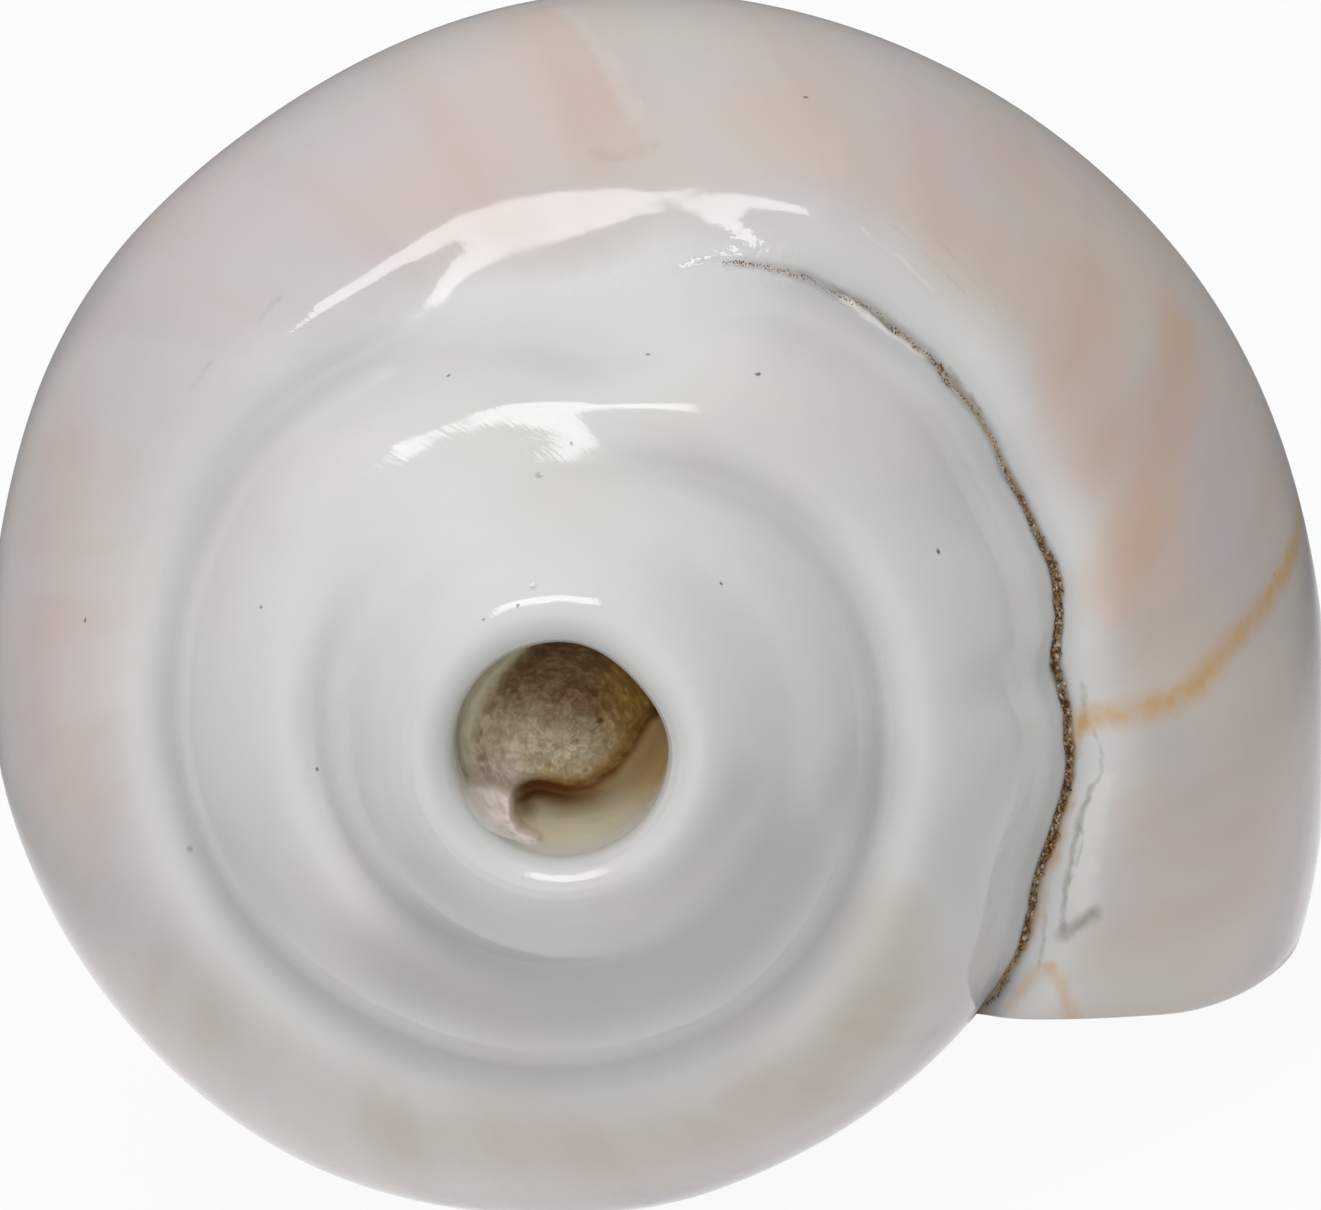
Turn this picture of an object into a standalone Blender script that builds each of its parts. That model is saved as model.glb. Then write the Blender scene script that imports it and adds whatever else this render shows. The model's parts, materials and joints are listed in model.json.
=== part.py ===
"""Blowing conch: a large spiral sea shell, ground white, with its apex cut off as a mouth hole.

The shell is modelled the way it grows. One outline of the last whorl is drawn at the lip, and
every earlier stage is the same outline, turned back round the coiling axis and shrunk towards the
pole of the spiral. The hollow is the mouth opening swept back in the same way, and a turned
cutter grinds the apex to a flat rim and bores it.

Shell frame, in millimetres: the pole of the spiral is the origin, the coiling axis runs along +Y
from the apex to the canal, and azimuths turn clockwise as seen from the apex.
"""

import math

import bmesh
import bpy
from mathutils import Matrix, Vector

MM = 0.001

# Growth
WHORL_GROWTH = 1.56                       # one whorl is this many times the one before
GROWTH_RATE = math.log(WHORL_GROWTH) / math.tau
LIP_AZIMUTH = math.radians(39.5)          # where the lip joins the whorl before it
WHORLS = 4                                # turns modelled, back from the lip
COLUMNS = 48                              # facets in one turn

# Outline of the last whorl at the lip: radius and distance from the pole, mm
SUTURE = (30.6, 35.2)
SHOULDER = [(32.0, 33.9), (34.2, 33.6), (37.2, 35.6), (40.8, 39.6), (44.0, 44.6), (46.4, 49.8)]
NEXT_SUTURE = (SUTURE[0] * WHORL_GROWTH, SUTURE[1] * WHORL_GROWTH)
BODY = [(48.0, 60.0), (46.9, 66.5), (44.3, 73.5), (40.6, 80.5), (36.0, 88.0), (30.8, 96.0),
        (25.6, 104.0), (21.4, 111.0), (18.4, 117.5), (16.2, 123.0), (14.6, 128.0), (13.5, 132.0)]
CANAL = [(12.1, 138.0), (10.9, 145.0), (10.0, 151.0), (8.7, 155.8), (6.0, 157.6)]
OUTLINE = [SUTURE] + SHOULDER + [NEXT_SUTURE] + BODY + CANAL
SEAM = len(SHOULDER) + 1                  # row where the next whorl would join
NECK = SEAM + len(BODY)                   # row where the mouth ends and the canal starts
TIP_HEIGHT = 158.0

# Wear and uneven growth
WORN_FROM = -1.6 * math.tau               # the steps of the spire fade out between these turns
WORN_SMOOTH = -2.15 * math.tau
WORN_BULGE = 1.6
SWELLINGS = [(-160.0, 34.0, -0.018), (-104.0, 42.0, 0.013)]   # degrees, half width, share

# Mouth
WALL = 3.4
CANAL_AZIMUTH = math.radians(78.0)
COLUMELLA_HOLLOW = 0.38                   # how far the inner side of the mouth sinks in
HOLLOW_SPREAD = 1.0                       # radians over which it sinks
CANAL_DEPTH = 5.6
CANAL_HALF_WIDTH = 4.2

# Hollow: swept back from the mouth, and drawn in to the mouth hole at its end
HOLLOW_TURNS = 2.86
HOLLOW_COLUMNS = 28                       # facets in one turn of the hollow
HOLLOW_THINNER = 0.18                     # share by which old deposits thicken its walls
HOLLOW_SHORTER = 0.08                     # share by which they fill the corner at the suture
JOIN_TURNS = 0.8
JOIN_POINT = (4.6, 17.5)                  # radius and height of its end, inside the bore
JOIN_FLATTER = 0.66

# Ground apex and mouth hole
BORE_RADIUS = 6.0
BORE_DEPTH_AT = 21.0
RIM_HEIGHT = 9.1
RIM_FLAT = (6.9, 7.9)                     # inner and outer radius of the flat on the rim
RIM_ROUNDING = [(8.4, 0.2), (8.9, 0.65), (9.5, 1.2)]   # radius, and distance past the flat
CUTTER_REACH = 16.0

# How the shell lies, mouth down: turned about its axis, then tipped canal down, until it
# touches the ground with its body whorl and with both ends of the canal
REST_ROLL = math.radians(8.81)
REST_TIP = math.radians(-12.11)

SHELL_COLOUR = (0.66, 0.61, 0.56, 1.0)


def smooth(x):
    """0 to 1 with level ends."""
    x = min(max(x, 0.0), 1.0)
    return x * x * (3.0 - 2.0 * x)


def hump(x):
    """0 at both ends of 0 to 1 and 1 in the middle."""
    return smooth(2.0 * x) if x < 0.5 else smooth(2.0 - 2.0 * x)


def polar(azimuth, radius, height):
    return Vector((radius * math.cos(azimuth), height, -radius * math.sin(azimuth)))


def neck_share(row):
    """0 where the outline still shrinks with growth, 1 where it is common to the whole turn."""
    return smooth((row - SEAM - 1) / (NECK - SEAM - 1))


def lip_shift(row):
    """Azimuth of the outer lip, from where it joins the whorl before: it lies in one plane."""
    joint = SUTURE[0] * math.sin(LIP_AZIMUTH)
    neck = OUTLINE[NECK][0] * math.sin(CANAL_AZIMUTH)
    plane = joint + (neck - joint) * max(row - SEAM, 0) / (NECK - SEAM)
    return math.asin(plane / OUTLINE[row][0]) - LIP_AZIMUTH


def inner_shift(row):
    """Azimuth of the inner lip, from the same place one turn back."""
    along = (row - SEAM) / (NECK - SEAM)
    return (CANAL_AZIMUTH - LIP_AZIMUTH) * smooth(along * 1.4) + math.radians(14.0) * hump(along)


def swelling(turn):
    """How far the last whorl swells or sinks at a growth angle, as a share of its size."""
    degrees = math.degrees(turn)
    return sum(share * smooth(1.0 - abs(degrees - place) / width)
               for place, width, share in SWELLINGS)


def outer_point(row, turn):
    """A point of the outside: turn is 0 at the lip and negative before it."""
    radius, height = OUTLINE[row]
    step = smooth((turn - WORN_SMOOTH) / (WORN_FROM - WORN_SMOOTH))
    swell = swelling(turn)
    if row < SEAM:
        share = (radius - SUTURE[0]) / (NEXT_SUTURE[0] - SUTURE[0])
        worn = SUTURE[1] * (1.0 + (WHORL_GROWTH - 1.0) * share) - WORN_BULGE * hump(share)
        height += (1.0 - step) * (worn - height)
        if turn < -math.tau:
            swell = swelling(turn + math.tau) * smooth(share)
    scale = math.exp(GROWTH_RATE * turn * (1.0 - neck_share(row))) * (1.0 + swell)
    if row > SEAM:
        scale -= swell * neck_share(row)
    radius *= scale
    azimuth = LIP_AZIMUTH + turn
    if row > SEAM:
        from_inner_lip = turn + math.tau - inner_shift(min(row, NECK))
        near = 1.0 - smooth(from_inner_lip / HOLLOW_SPREAD)
        radius *= 1.0 - COLUMELLA_HOLLOW * near * hump((row - SEAM - 2) / (NECK - SEAM - 2))
        away = (azimuth - CANAL_AZIMUTH + math.pi) % math.tau - math.pi
        across = min(abs(away) * radius / CANAL_HALF_WIDTH, 1.0)
        depth = CANAL_DEPTH * smooth((row - NECK + 5) / 5.0) * min(radius / 10.0, 1.0)
        radius -= depth * (1.0 - across ** 2) ** 2
    return polar(azimuth, radius, height * scale)


def lip_edge(row):
    """The inner edge of the outer lip: the wall's thickness in from its outer edge."""
    edge = outer_point(row, lip_shift(row))
    before, after = OUTLINE[row - 1], OUTLINE[row + 1]
    along = Vector((after[0] - before[0], after[1] - before[1])).normalized()
    wall = WALL * (1.0 - 0.6 * smooth((row - NECK + 5) / 5.0))
    return polar(LIP_AZIMUTH + lip_shift(row),
                 edge.xz.length - wall * along.y, edge.y + wall * along.x)


def make_shell():
    mesh = bmesh.new()
    last = WHORLS * COLUMNS
    seam_column = last - COLUMNS
    step = math.tau / COLUMNS
    grid = {}

    def turn_at(column, row):
        """Growth angle of a grid line: even, but drawn in to the two edges of the mouth."""
        if column < seam_column:
            return (column - last) * step
        part = (column - seam_column) / COLUMNS
        start = -math.tau + (inner_shift(row) if row > SEAM else 0.0)
        return start + (lip_shift(row) - start) * part

    def outside(column, row):
        if row == SEAM and column + COLUMNS <= last:
            column, row = column + COLUMNS, 0
        if row >= NECK and column == last:
            column = seam_column
        if (column, row) not in grid:
            turn = turn_at(column, min(row, NECK))
            grid[column, row] = mesh.verts.new(outer_point(row, turn))
        return grid[column, row]

    def strip(first, second):
        """Quads, or triangles where the two lines share a vertex, between two lines."""
        for a, b, c, d in zip(first, first[1:], second[1:], second):
            corners = list(dict.fromkeys((a, b, c, d)))
            if len(corners) > 2:
                mesh.faces.new(corners)

    # Spire and shoulder ribbon, then the body and canal of the last whorl
    for row in range(SEAM):
        strip([outside(c, row) for c in range(last + 1)],
              [outside(c, row + 1) for c in range(last + 1)])
    for row in range(SEAM, len(OUTLINE) - 1):
        strip([outside(c, row) for c in range(seam_column, last + 1)],
              [outside(c, row + 1) for c in range(seam_column, last + 1)])

    # Closed ends: the start of the ribbon and the tip of the canal
    start = [outside(c, 0) for c in range(COLUMNS + 1)]
    start += [outside(0, row) for row in range(SEAM - 1, 0, -1)]
    pole = mesh.verts.new((0.0, 0.5 * start[0].co.y, 0.0))
    strip(start + start[:1], [pole] * (len(start) + 1))
    end = [outside(c, len(OUTLINE) - 1) for c in range(seam_column, last + 1)]
    tip = mesh.verts.new((0.0, TIP_HEIGHT, 0.0))
    strip(end, [tip] * len(end))

    # Outer lip: its edge is rounded between the outline and the inner edge
    outline_edge = [outside(last, row) for row in range(NECK + 1)]
    inner_lip = [outside(seam_column, row) for row in range(SEAM, NECK + 1)]
    inside_edge = [inner_lip[1]]
    inside_edge += [mesh.verts.new(lip_edge(row)) for row in range(1, NECK)]
    inside_edge += [inner_lip[-2]]
    crest = [outline_edge[0]]
    for row in range(1, NECK):
        middle = (outline_edge[row].co + inside_edge[row].co) / 2.0
        ahead = Matrix.Rotation(0.25 * WALL / middle.xz.length, 3, "Y") @ middle
        crest.append(mesh.verts.new(ahead))
    crest.append(outline_edge[-1])
    strip(outline_edge, crest)
    strip(crest, inside_edge)

    # Hollow: the loop of the mouth turned back and shrunk
    loop = inside_edge + inner_lip[-3:1:-1]
    mouth = [vertex.co.copy() for vertex in loop]
    ring = loop + loop[:1]
    count = round(HOLLOW_TURNS * HOLLOW_COLUMNS)
    centre = sum(mouth, Vector()) / len(mouth)
    for column in range(1, count + 1):
        back = column * math.tau / HOLLOW_COLUMNS
        scale = math.exp(-GROWTH_RATE * back)
        joined = smooth(1.0 - (count - column) / (JOIN_TURNS * HOLLOW_COLUMNS))
        across = scale * (1.0 - HOLLOW_THINNER * smooth(back / math.tau))
        along = scale * (1.0 - HOLLOW_SHORTER * smooth(2.0 * back / math.tau))
        size = Vector((across, along * (1.0 - JOIN_FLATTER * joined), across))
        out = centre.xz.length
        end = Vector((centre.x / out * JOIN_POINT[0], JOIN_POINT[1], centre.z / out * JOIN_POINT[0]))
        middle = (centre * scale).lerp(end, joined)
        turn_back = Matrix.Rotation(-back, 3, "Y")
        swept = [mesh.verts.new(turn_back @ (middle + (point - centre) * size)) for point in mouth]
        strip(ring, swept + swept[:1])
        ring = swept + swept[:1]
    inner_end = mesh.verts.new(turn_back @ middle)
    strip(ring, [inner_end] * len(ring))

    bmesh.ops.recalc_face_normals(mesh, faces=mesh.faces)
    bmesh.ops.triangulate(mesh, faces=mesh.faces)
    bmesh.ops.scale(mesh, vec=(MM, MM, MM), verts=mesh.verts)
    data = bpy.data.meshes.new("shell")
    mesh.to_mesh(data)
    mesh.free()
    data.shade_smooth()
    data.set_sharp_from_angle(angle=math.radians(40.0))
    return bpy.data.objects.new("shell", data)


def make_apex_cutter():
    """A turned cutter: its underside is the rounded rim, its spigot the mouth hole."""
    inner, outer = RIM_FLAT
    top = -5.0
    profile = [(0.0, BORE_DEPTH_AT), (BORE_RADIUS * 0.8, BORE_DEPTH_AT),
               (BORE_RADIUS, BORE_DEPTH_AT - 2.0), (BORE_RADIUS, RIM_HEIGHT + 1.6),
               (BORE_RADIUS + 0.3, RIM_HEIGHT + 0.5), (inner, RIM_HEIGHT), (outer, RIM_HEIGHT)]
    profile += [(radius, RIM_HEIGHT + past) for radius, past in RIM_ROUNDING]
    profile += [(CUTTER_REACH, RIM_HEIGHT + RIM_ROUNDING[-1][1]), (CUTTER_REACH, top), (0.0, top)]
    data = bpy.data.meshes.new("apex_cutter")
    mesh = bmesh.new()
    line = [mesh.verts.new((radius * MM, height * MM, 0.0)) for radius, height in profile]
    for a, b in zip(line, line[1:]):
        mesh.edges.new((a, b))
    mesh.to_mesh(data)
    mesh.free()
    cutter = bpy.data.objects.new("apex_cutter", data)
    turn = cutter.modifiers.new("turn", "SCREW")
    turn.axis = "Y"
    turn.steps = 48
    turn.render_steps = 48
    turn.use_merge_vertices = True
    turn.merge_threshold = 0.00001
    turn.use_normal_calculate = True
    turn.use_normal_flip = True
    return cutter


def make_material():
    shell = bpy.data.materials.new("polished_shell")
    shell.use_nodes = True
    surface = shell.node_tree.nodes["Principled BSDF"]
    surface.inputs["Base Color"].default_value = SHELL_COLOUR
    surface.inputs["Roughness"].default_value = 0.18
    surface.inputs["Metallic"].default_value = 0.0
    return shell


for leftover in list(bpy.data.objects):
    bpy.data.objects.remove(leftover, do_unlink=True)

conch = bpy.data.collections.new("conch_shell")
cutters = bpy.data.collections.new("cutters")
bpy.context.scene.collection.children.link(conch)
bpy.context.scene.collection.children.link(cutters)

rest = bpy.data.objects.new("rest_pose", None)
rest.rotation_mode = "YXZ"
rest.rotation_euler = (REST_TIP, REST_ROLL, 0.0)
conch.objects.link(rest)

shell = make_shell()
shell.data.materials.append(make_material())
shell.parent = rest
conch.objects.link(shell)

cutter = make_apex_cutter()
cutter.parent = rest
cutter.hide_render = True
cutter.display_type = "WIRE"
cutters.objects.link(cutter)

grind = shell.modifiers.new("grind_and_bore_apex", "BOOLEAN")
grind.operation = "DIFFERENCE"
grind.solver = "EXACT"
grind.object = cutter

# The origin is on the ground, under the middle of the shell
bpy.context.view_layer.update()
lying = shell.evaluated_get(bpy.context.evaluated_depsgraph_get())
points = [lying.matrix_world @ vertex.co for vertex in lying.data.vertices]
low = [min(point[axis] for point in points) for axis in range(3)]
high = [max(point[axis] for point in points) for axis in range(3)]
rest.location = (-(low[0] + high[0]) / 2.0, -(low[1] + high[1]) / 2.0, -low[2])
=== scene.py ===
"""A blown conch, built over its CAD frame: a chank shell ground white and polished, lying mouth
down, with its apex cut off and bored as a mouth hole.

The whorls are swept by Geometry Nodes from one outline, the way the animal lays them down. The
wear, the ground rim and the mouth are then worked into that mesh, as they were into the shell.
"""

import json
import math

import bmesh
import bpy
import numpy as np
from mathutils import Matrix, Vector, noise


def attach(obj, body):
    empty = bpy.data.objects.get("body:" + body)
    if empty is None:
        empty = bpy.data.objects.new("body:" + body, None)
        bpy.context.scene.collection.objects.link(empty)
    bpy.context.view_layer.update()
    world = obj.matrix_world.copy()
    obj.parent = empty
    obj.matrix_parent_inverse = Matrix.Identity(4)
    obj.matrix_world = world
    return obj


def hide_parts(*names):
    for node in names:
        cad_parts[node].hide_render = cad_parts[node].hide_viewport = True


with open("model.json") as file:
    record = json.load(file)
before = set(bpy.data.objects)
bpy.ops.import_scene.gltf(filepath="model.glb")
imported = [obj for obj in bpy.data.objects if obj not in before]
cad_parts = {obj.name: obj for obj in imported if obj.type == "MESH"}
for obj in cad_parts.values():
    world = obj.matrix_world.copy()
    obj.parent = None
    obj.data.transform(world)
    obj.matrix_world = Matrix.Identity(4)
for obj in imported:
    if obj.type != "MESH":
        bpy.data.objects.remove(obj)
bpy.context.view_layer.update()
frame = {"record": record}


# ---- Whorls ---------------------------------------------------------------------------------
# The shell of a chank, Turbinella pyrum: thick aragonite, laid down at the lip and so always the
# same outline, turned and grown. Sizes are the outline's, in millimetres and turns of the coil:
# the pole of the spiral is the origin, and the coiling axis runs along +Y, from apex to canal.

MM = 0.001
WHORL_GROWTH = 1.56
GROWTH_RATE = math.log(WHORL_GROWTH) / math.tau
LIP_AZIMUTH = math.radians(39.5)
WHORLS = 4                                        # before the last one
COLUMNS = 240                                     # steps in one turn
SUTURE = (30.6, 35.2)
OUTLINE = np.array([
    SUTURE, (32.0, 33.9), (34.2, 33.6), (37.2, 35.6), (40.8, 39.6), (44.0, 44.6), (46.4, 49.8),
    (SUTURE[0] * WHORL_GROWTH, SUTURE[1] * WHORL_GROWTH),
    (48.0, 60.0), (46.9, 66.5), (44.3, 73.5), (40.6, 80.5), (36.0, 88.0), (30.8, 96.0),
    (25.6, 104.0), (21.4, 111.0), (18.4, 117.5), (16.2, 123.0), (14.6, 128.0), (13.5, 132.0),
    (12.1, 138.0), (10.9, 145.0), (10.0, 151.0), (8.7, 155.8), (6.0, 157.6)])
SEAM, NECK, LAST_ROW = 7, 19, 24                  # rows where the next whorl joins, the mouth ends
CANAL_AZIMUTH = math.radians(78.0)                # and the outline ends
CALLUS_REACH = math.radians(14.0)                 # how far the inner lip spreads over the whorl
LIP_CORNER = math.radians(1.8)                    # how far the lip's shoulder reaches forward
LIP_DRAWN_BACK = math.radians(3.4)                # how far its widest part is drawn back


def smooth(x):
    """0 to 1 with level ends."""
    x = np.clip(x, 0.0, 1.0)
    return x * x * (3.0 - 2.0 * x)


def hump(x):
    """0 at both ends of 0 to 1 and 1 in the middle."""
    return smooth(1.0 - np.abs(2.0 * np.asarray(x) - 1.0))


def outline_at(row):
    """Radius and height of the outline: a smooth curve through its points."""
    row = np.clip(np.asarray(row, float), 0.0, LAST_ROW)
    whole = np.minimum(row.astype(int), LAST_ROW - 1)
    part = (row - whole)[..., None]
    ends = np.vstack([2 * OUTLINE[0] - OUTLINE[1], OUTLINE, 2 * OUTLINE[-1] - OUTLINE[-2]])
    a, b, c, d = (ends[whole + k] for k in range(4))
    return b + 0.5 * part * (c - a + part * (2 * a - 5 * b + 4 * c - d
                                             + part * (3 * (b - c) + d - a)))


def neck_share(row):
    """0 where the outline still shrinks with growth, 1 where it is common to the whole turn."""
    return smooth((row - SEAM - 1) / (NECK - SEAM - 1))


def outer_lip(row):
    """Azimuth of the outer lip, from where it joins the whorl before: it lies in one plane."""
    joint = SUTURE[0] * math.sin(LIP_AZIMUTH)
    neck = OUTLINE[NECK][0] * math.sin(CANAL_AZIMUTH)
    row = np.minimum(row, NECK)
    plane = joint + (neck - joint) * np.maximum(row - SEAM, 0) / (NECK - SEAM)
    corner = LIP_CORNER * hump((row - 1.0) / 12.0)
    corner = corner - LIP_DRAWN_BACK * np.clip((outline_at(row)[..., 0] - 40.5) / 7.5, 0.0, 1.0) ** 2
    return np.arcsin(plane / outline_at(row)[..., 0]) - LIP_AZIMUTH + corner


def inner_lip(row):
    """Azimuth of the inner lip, from the same place one turn back."""
    along = np.clip((row - SEAM - 1.5) / (NECK - SEAM - 1.5), 0.0, 1.0)
    return (CANAL_AZIMUTH - LIP_AZIMUTH) * smooth(along * 1.4) + CALLUS_REACH * hump(along)


def add_node(tree, kind, inputs=(), out=0, **settings):
    """Adds a node with its settings and gives back one of its outputs, or all where out is None.

    Its inputs, in a list in their order or in a dict, are values or sockets to link to it.
    """
    node = tree.nodes.new(kind if "Node" in kind else "ShaderNode" + kind)
    for name, value in settings.items():
        setattr(node, name, value)
    for key, value in inputs.items() if isinstance(inputs, dict) else enumerate(inputs):
        if isinstance(value, bpy.types.NodeSocket):
            tree.links.new(value, node.inputs[key])
        else:
            node.inputs[key].default_value = value
    return node.outputs if out is None else node.outputs[out]


def new_tree(name, inputs):
    """A Geometry Nodes tree with named inputs and one geometry for output, and its inputs."""
    tree = bpy.data.node_groups.new(name, "GeometryNodeTree")
    for label, kind in inputs:
        tree.interface.new_socket(label, in_out="INPUT", socket_type="NodeSocket" + kind)
    tree.interface.new_socket("Geometry", in_out="OUTPUT", socket_type="NodeSocketGeometry")
    return tree, add_node(tree, "NodeGroupInput", out=None)


def end_tree(tree, mesh, finish):
    """Ends a tree with its mesh made real and given its finish."""
    mesh = add_node(tree, "GeometryNodeRealizeInstances", {"Geometry": mesh})
    mesh = add_node(tree, "GeometryNodeSetMaterial", {"Geometry": mesh, "Material": finish})
    add_node(tree, "NodeGroupOutput", {"Geometry": mesh}, out=None)
    return tree


def new_object(name, data):
    """An object with its data, in the scene."""
    made = bpy.data.objects.new(name, data)
    bpy.context.scene.collection.objects.link(made)
    return made


def new_material(name):
    """A material with no nodes yet, and its tree."""
    material = bpy.data.materials.new(name)
    material.use_nodes = True
    material.node_tree.nodes.clear()
    return material, material.node_tree


def store(mesh, name, values):
    """Keeps a number or a vector for each point of a mesh."""
    kind, field = ("FLOAT", "value") if np.ndim(values) == 1 else ("FLOAT_VECTOR", "vector")
    mesh.attributes.new(name, kind, "POINT").data.foreach_set(field, np.ravel(values))


def grow(carrier, tree, given):
    """The mesh that a tree makes of an object with the inputs given; the object is used up."""
    growth = carrier.modifiers.new(tree.name, "NODES")
    growth.node_group = tree
    for item in tree.interface.items_tree:
        if item.name in given:
            growth[item.identifier] = given[item.name]
    mesh = bpy.data.meshes.new_from_object(
        carrier.evaluated_get(bpy.context.evaluated_depsgraph_get()))
    bpy.data.objects.remove(carrier)
    return mesh


def make_coiling_tree():
    """Sweeps an outline round the axis: every vertex of it grows away from the pole."""
    tree, given = new_tree("coil_whorls", (
        ("Outline", "Object"), ("Turns", "Float"), ("Columns", "Int"), ("Growth rate", "Float"),
        ("Lip azimuth", "Float"), ("Finish", "Material")))
    outline = add_node(tree, "GeometryNodeObjectInfo", {"Object": given["Outline"]}, out=None)
    rows = add_node(tree, "GeometryNodeAttributeDomainSize", {"Geometry": outline["Geometry"]},
                    out="Point Count")
    grid = add_node(tree, "GeometryNodeMeshGrid", {"Vertices X": given["Columns"], "Vertices Y": rows},
                    out="Mesh")
    index = add_node(tree, "GeometryNodeInputIndex")
    share = add_node(tree, "Math", [index, rows], operation="DIVIDE")
    column = add_node(tree, "Math", [share], operation="FLOOR")
    row = add_node(tree, "Math", [index, rows], operation="MODULO")

    def of_outline(name, kind="FLOAT"):
        """A value stored on the outline, for this row of the sweep."""
        if name == "position":
            field = add_node(tree, "GeometryNodeInputPosition")
        else:
            field = add_node(tree, "GeometryNodeInputNamedAttribute", {"Name": name}, data_type=kind)
        return add_node(tree, "GeometryNodeSampleIndex",
                        {"Geometry": outline["Geometry"], "Value": field, "Index": row}, data_type=kind)

    # The growth angle is even, but the last turn is drawn in to the two lips of the mouth
    last = add_node(tree, "Math", [given["Columns"], 1.0], operation="SUBTRACT")
    part = add_node(tree, "Math", [column, last], operation="DIVIDE")
    back = add_node(tree, "Math", [part, 1.0], operation="SUBTRACT")
    whorls = add_node(tree, "Math", [back, given["Turns"]], operation="MULTIPLY")
    newest = add_node(tree, "Math", [whorls, 1.0], operation="ADD", use_clamp=True)
    mouth = add_node(tree, "Mix", {0: newest, 2: of_outline("inner_lip"), 3: of_outline("outer_lip")})
    turn = add_node(tree, "Math", [whorls, math.tau, mouth], operation="MULTIPLY_ADD")
    rate = add_node(tree, "Math", [given["Growth rate"], of_outline("growth")], operation="MULTIPLY")
    grown = add_node(tree, "Math", [turn, rate], operation="MULTIPLY")
    scale = add_node(tree, "Math", [grown], operation="EXPONENT")
    azimuth = add_node(tree, "Math", [turn, given["Lip azimuth"]], operation="ADD")
    point = add_node(tree, "VectorMath", {0: of_outline("position", "FLOAT_VECTOR"), 3: scale},
                     operation="SCALE")
    place = add_node(tree, "VectorRotate", {"Vector": point, "Angle": azimuth}, rotation_type="Y_AXIS")
    mesh = add_node(tree, "GeometryNodeSetPosition", {"Geometry": grid, "Position": place})
    for name, value in (("turn", turn), ("row", of_outline("row"))):
        mesh = add_node(tree, "GeometryNodeStoreNamedAttribute",
                        {"Geometry": mesh, "Name": name, "Value": value})
    return end_tree(tree, mesh, given["Finish"])


def coil(name, tree, rows, turns, finish):
    """One sweep of the outline's rows, as arrays (columns, rows) of points, turns and rows."""
    guide_mesh = bpy.data.meshes.new(name + "_outline")
    guide_mesh.from_pydata([(r * MM, h * MM, 0.0) for r, h in outline_at(rows)], [], [])
    for key, values in (("row", rows), ("growth", 1.0 - neck_share(rows)),
                        ("outer_lip", outer_lip(rows)),
                        ("inner_lip", (rows >= SEAM) * inner_lip(rows))):
        store(guide_mesh, key, values)
    guide = new_object(name + "_outline", guide_mesh)
    columns = round(turns * COLUMNS) + 1
    mesh = grow(new_object(name, bpy.data.meshes.new(name)), tree, {
        "Outline": guide, "Turns": float(turns), "Columns": columns,
        "Growth rate": GROWTH_RATE, "Lip azimuth": LIP_AZIMUTH, "Finish": finish})
    bpy.data.objects.remove(guide)
    found = []
    for key, field, size in (("position", "vector", 3), ("turn", "value", 1), ("row", "value", 1)):
        values = np.empty(len(mesh.vertices) * size, np.float32)
        mesh.attributes[key].data.foreach_get(field, values)
        found.append(values.reshape(columns, len(rows), size).squeeze().astype(float))
    return found


SHOULDER_ROWS = 40
LIP_STEPS, JOINT_ROWS = 8, 0.45                   # steps round the lip's edge, and its end's width
shoulder_rows = SEAM * (1.0 - np.cos(np.linspace(0.0, math.pi, SHOULDER_ROWS))) / 2.0
body_rows = np.concatenate([
    np.linspace(SEAM, SEAM + JOINT_ROWS, LIP_STEPS + 1),
    np.linspace(SEAM + JOINT_ROWS, NECK - 1, 64)[1:],
    np.linspace(NECK - 1, NECK, LIP_STEPS + 1)[1:], np.linspace(NECK, LAST_ROW, 20)[1:]])

coiling_tree = make_coiling_tree()
polish, coat = new_material("polished_aragonite_shell")
shoulder, shoulder_turn, shoulder_row = coil(
    "shoulder", coiling_tree, shoulder_rows, WHORLS + 1, polish)
body, body_turn, body_row = coil("body", coiling_tree, body_rows, 1, polish)
bpy.data.node_groups.remove(coiling_tree)


# ---- Wear, dents and the ground rim -----------------------------------------------------------
# Grinding has worn the steps of the oldest whorls away and rounded the older sutures. The apex is
# sawn off at RIM_HEIGHT and bored: there the spire is bent over the rim and down into the bore.

WORN_FROM, WORN_SMOOTH, WORN_BULGE = -1.6 * math.tau, -2.15 * math.tau, 1.6
# Where the last whorl swells or sinks, and where its suture wanders, as it grew: the growth angle
# back from the lip, the half width, both in degrees, and the share of the radius there
SWELLINGS = ((-8.0, 26.0, 0.018), (-46.0, 28.0, -0.011), (-100.0, 46.0, -0.006), (-160.0, 34.0, -0.018),
             (-205.0, 30.0, -0.016), (-300.0, 24.0, -0.012), (-335.0, 45.0, -0.0235))
SUTURE_SHIFTS = ((-14.0, 30.0, -0.018), (-96.0, 58.0, 0.032), (-42.0, 32.0, -0.028),
                 (-43.0, 7.0, -0.028), (-19.0, 13.0, -0.024), (-68.0, 14.0, -0.018),
                 (-124.0, 22.0, -0.090), (-212.0, 40.0, -0.012),
                 (-144.0, 42.0, -0.075), (-225.0, 60.0, 0.036),
                 (-391.0, 55.0, -0.034), (-480.0, 50.0, -0.035), (-520.0, 40.0, 0.012))
SHARP_SUTURE, ROUNDED_SUTURE = 0.4, 3.3           # mm rounded on each side, at the lip and later
LIP_SUTURE = (0.5, 9.0)                           # degrees back from the lip, from one to the other
POLISHED_SUTURE, POLISH_REACH = 1.1, 9.0          # mm over which polishing blurs it, and its reach
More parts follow.
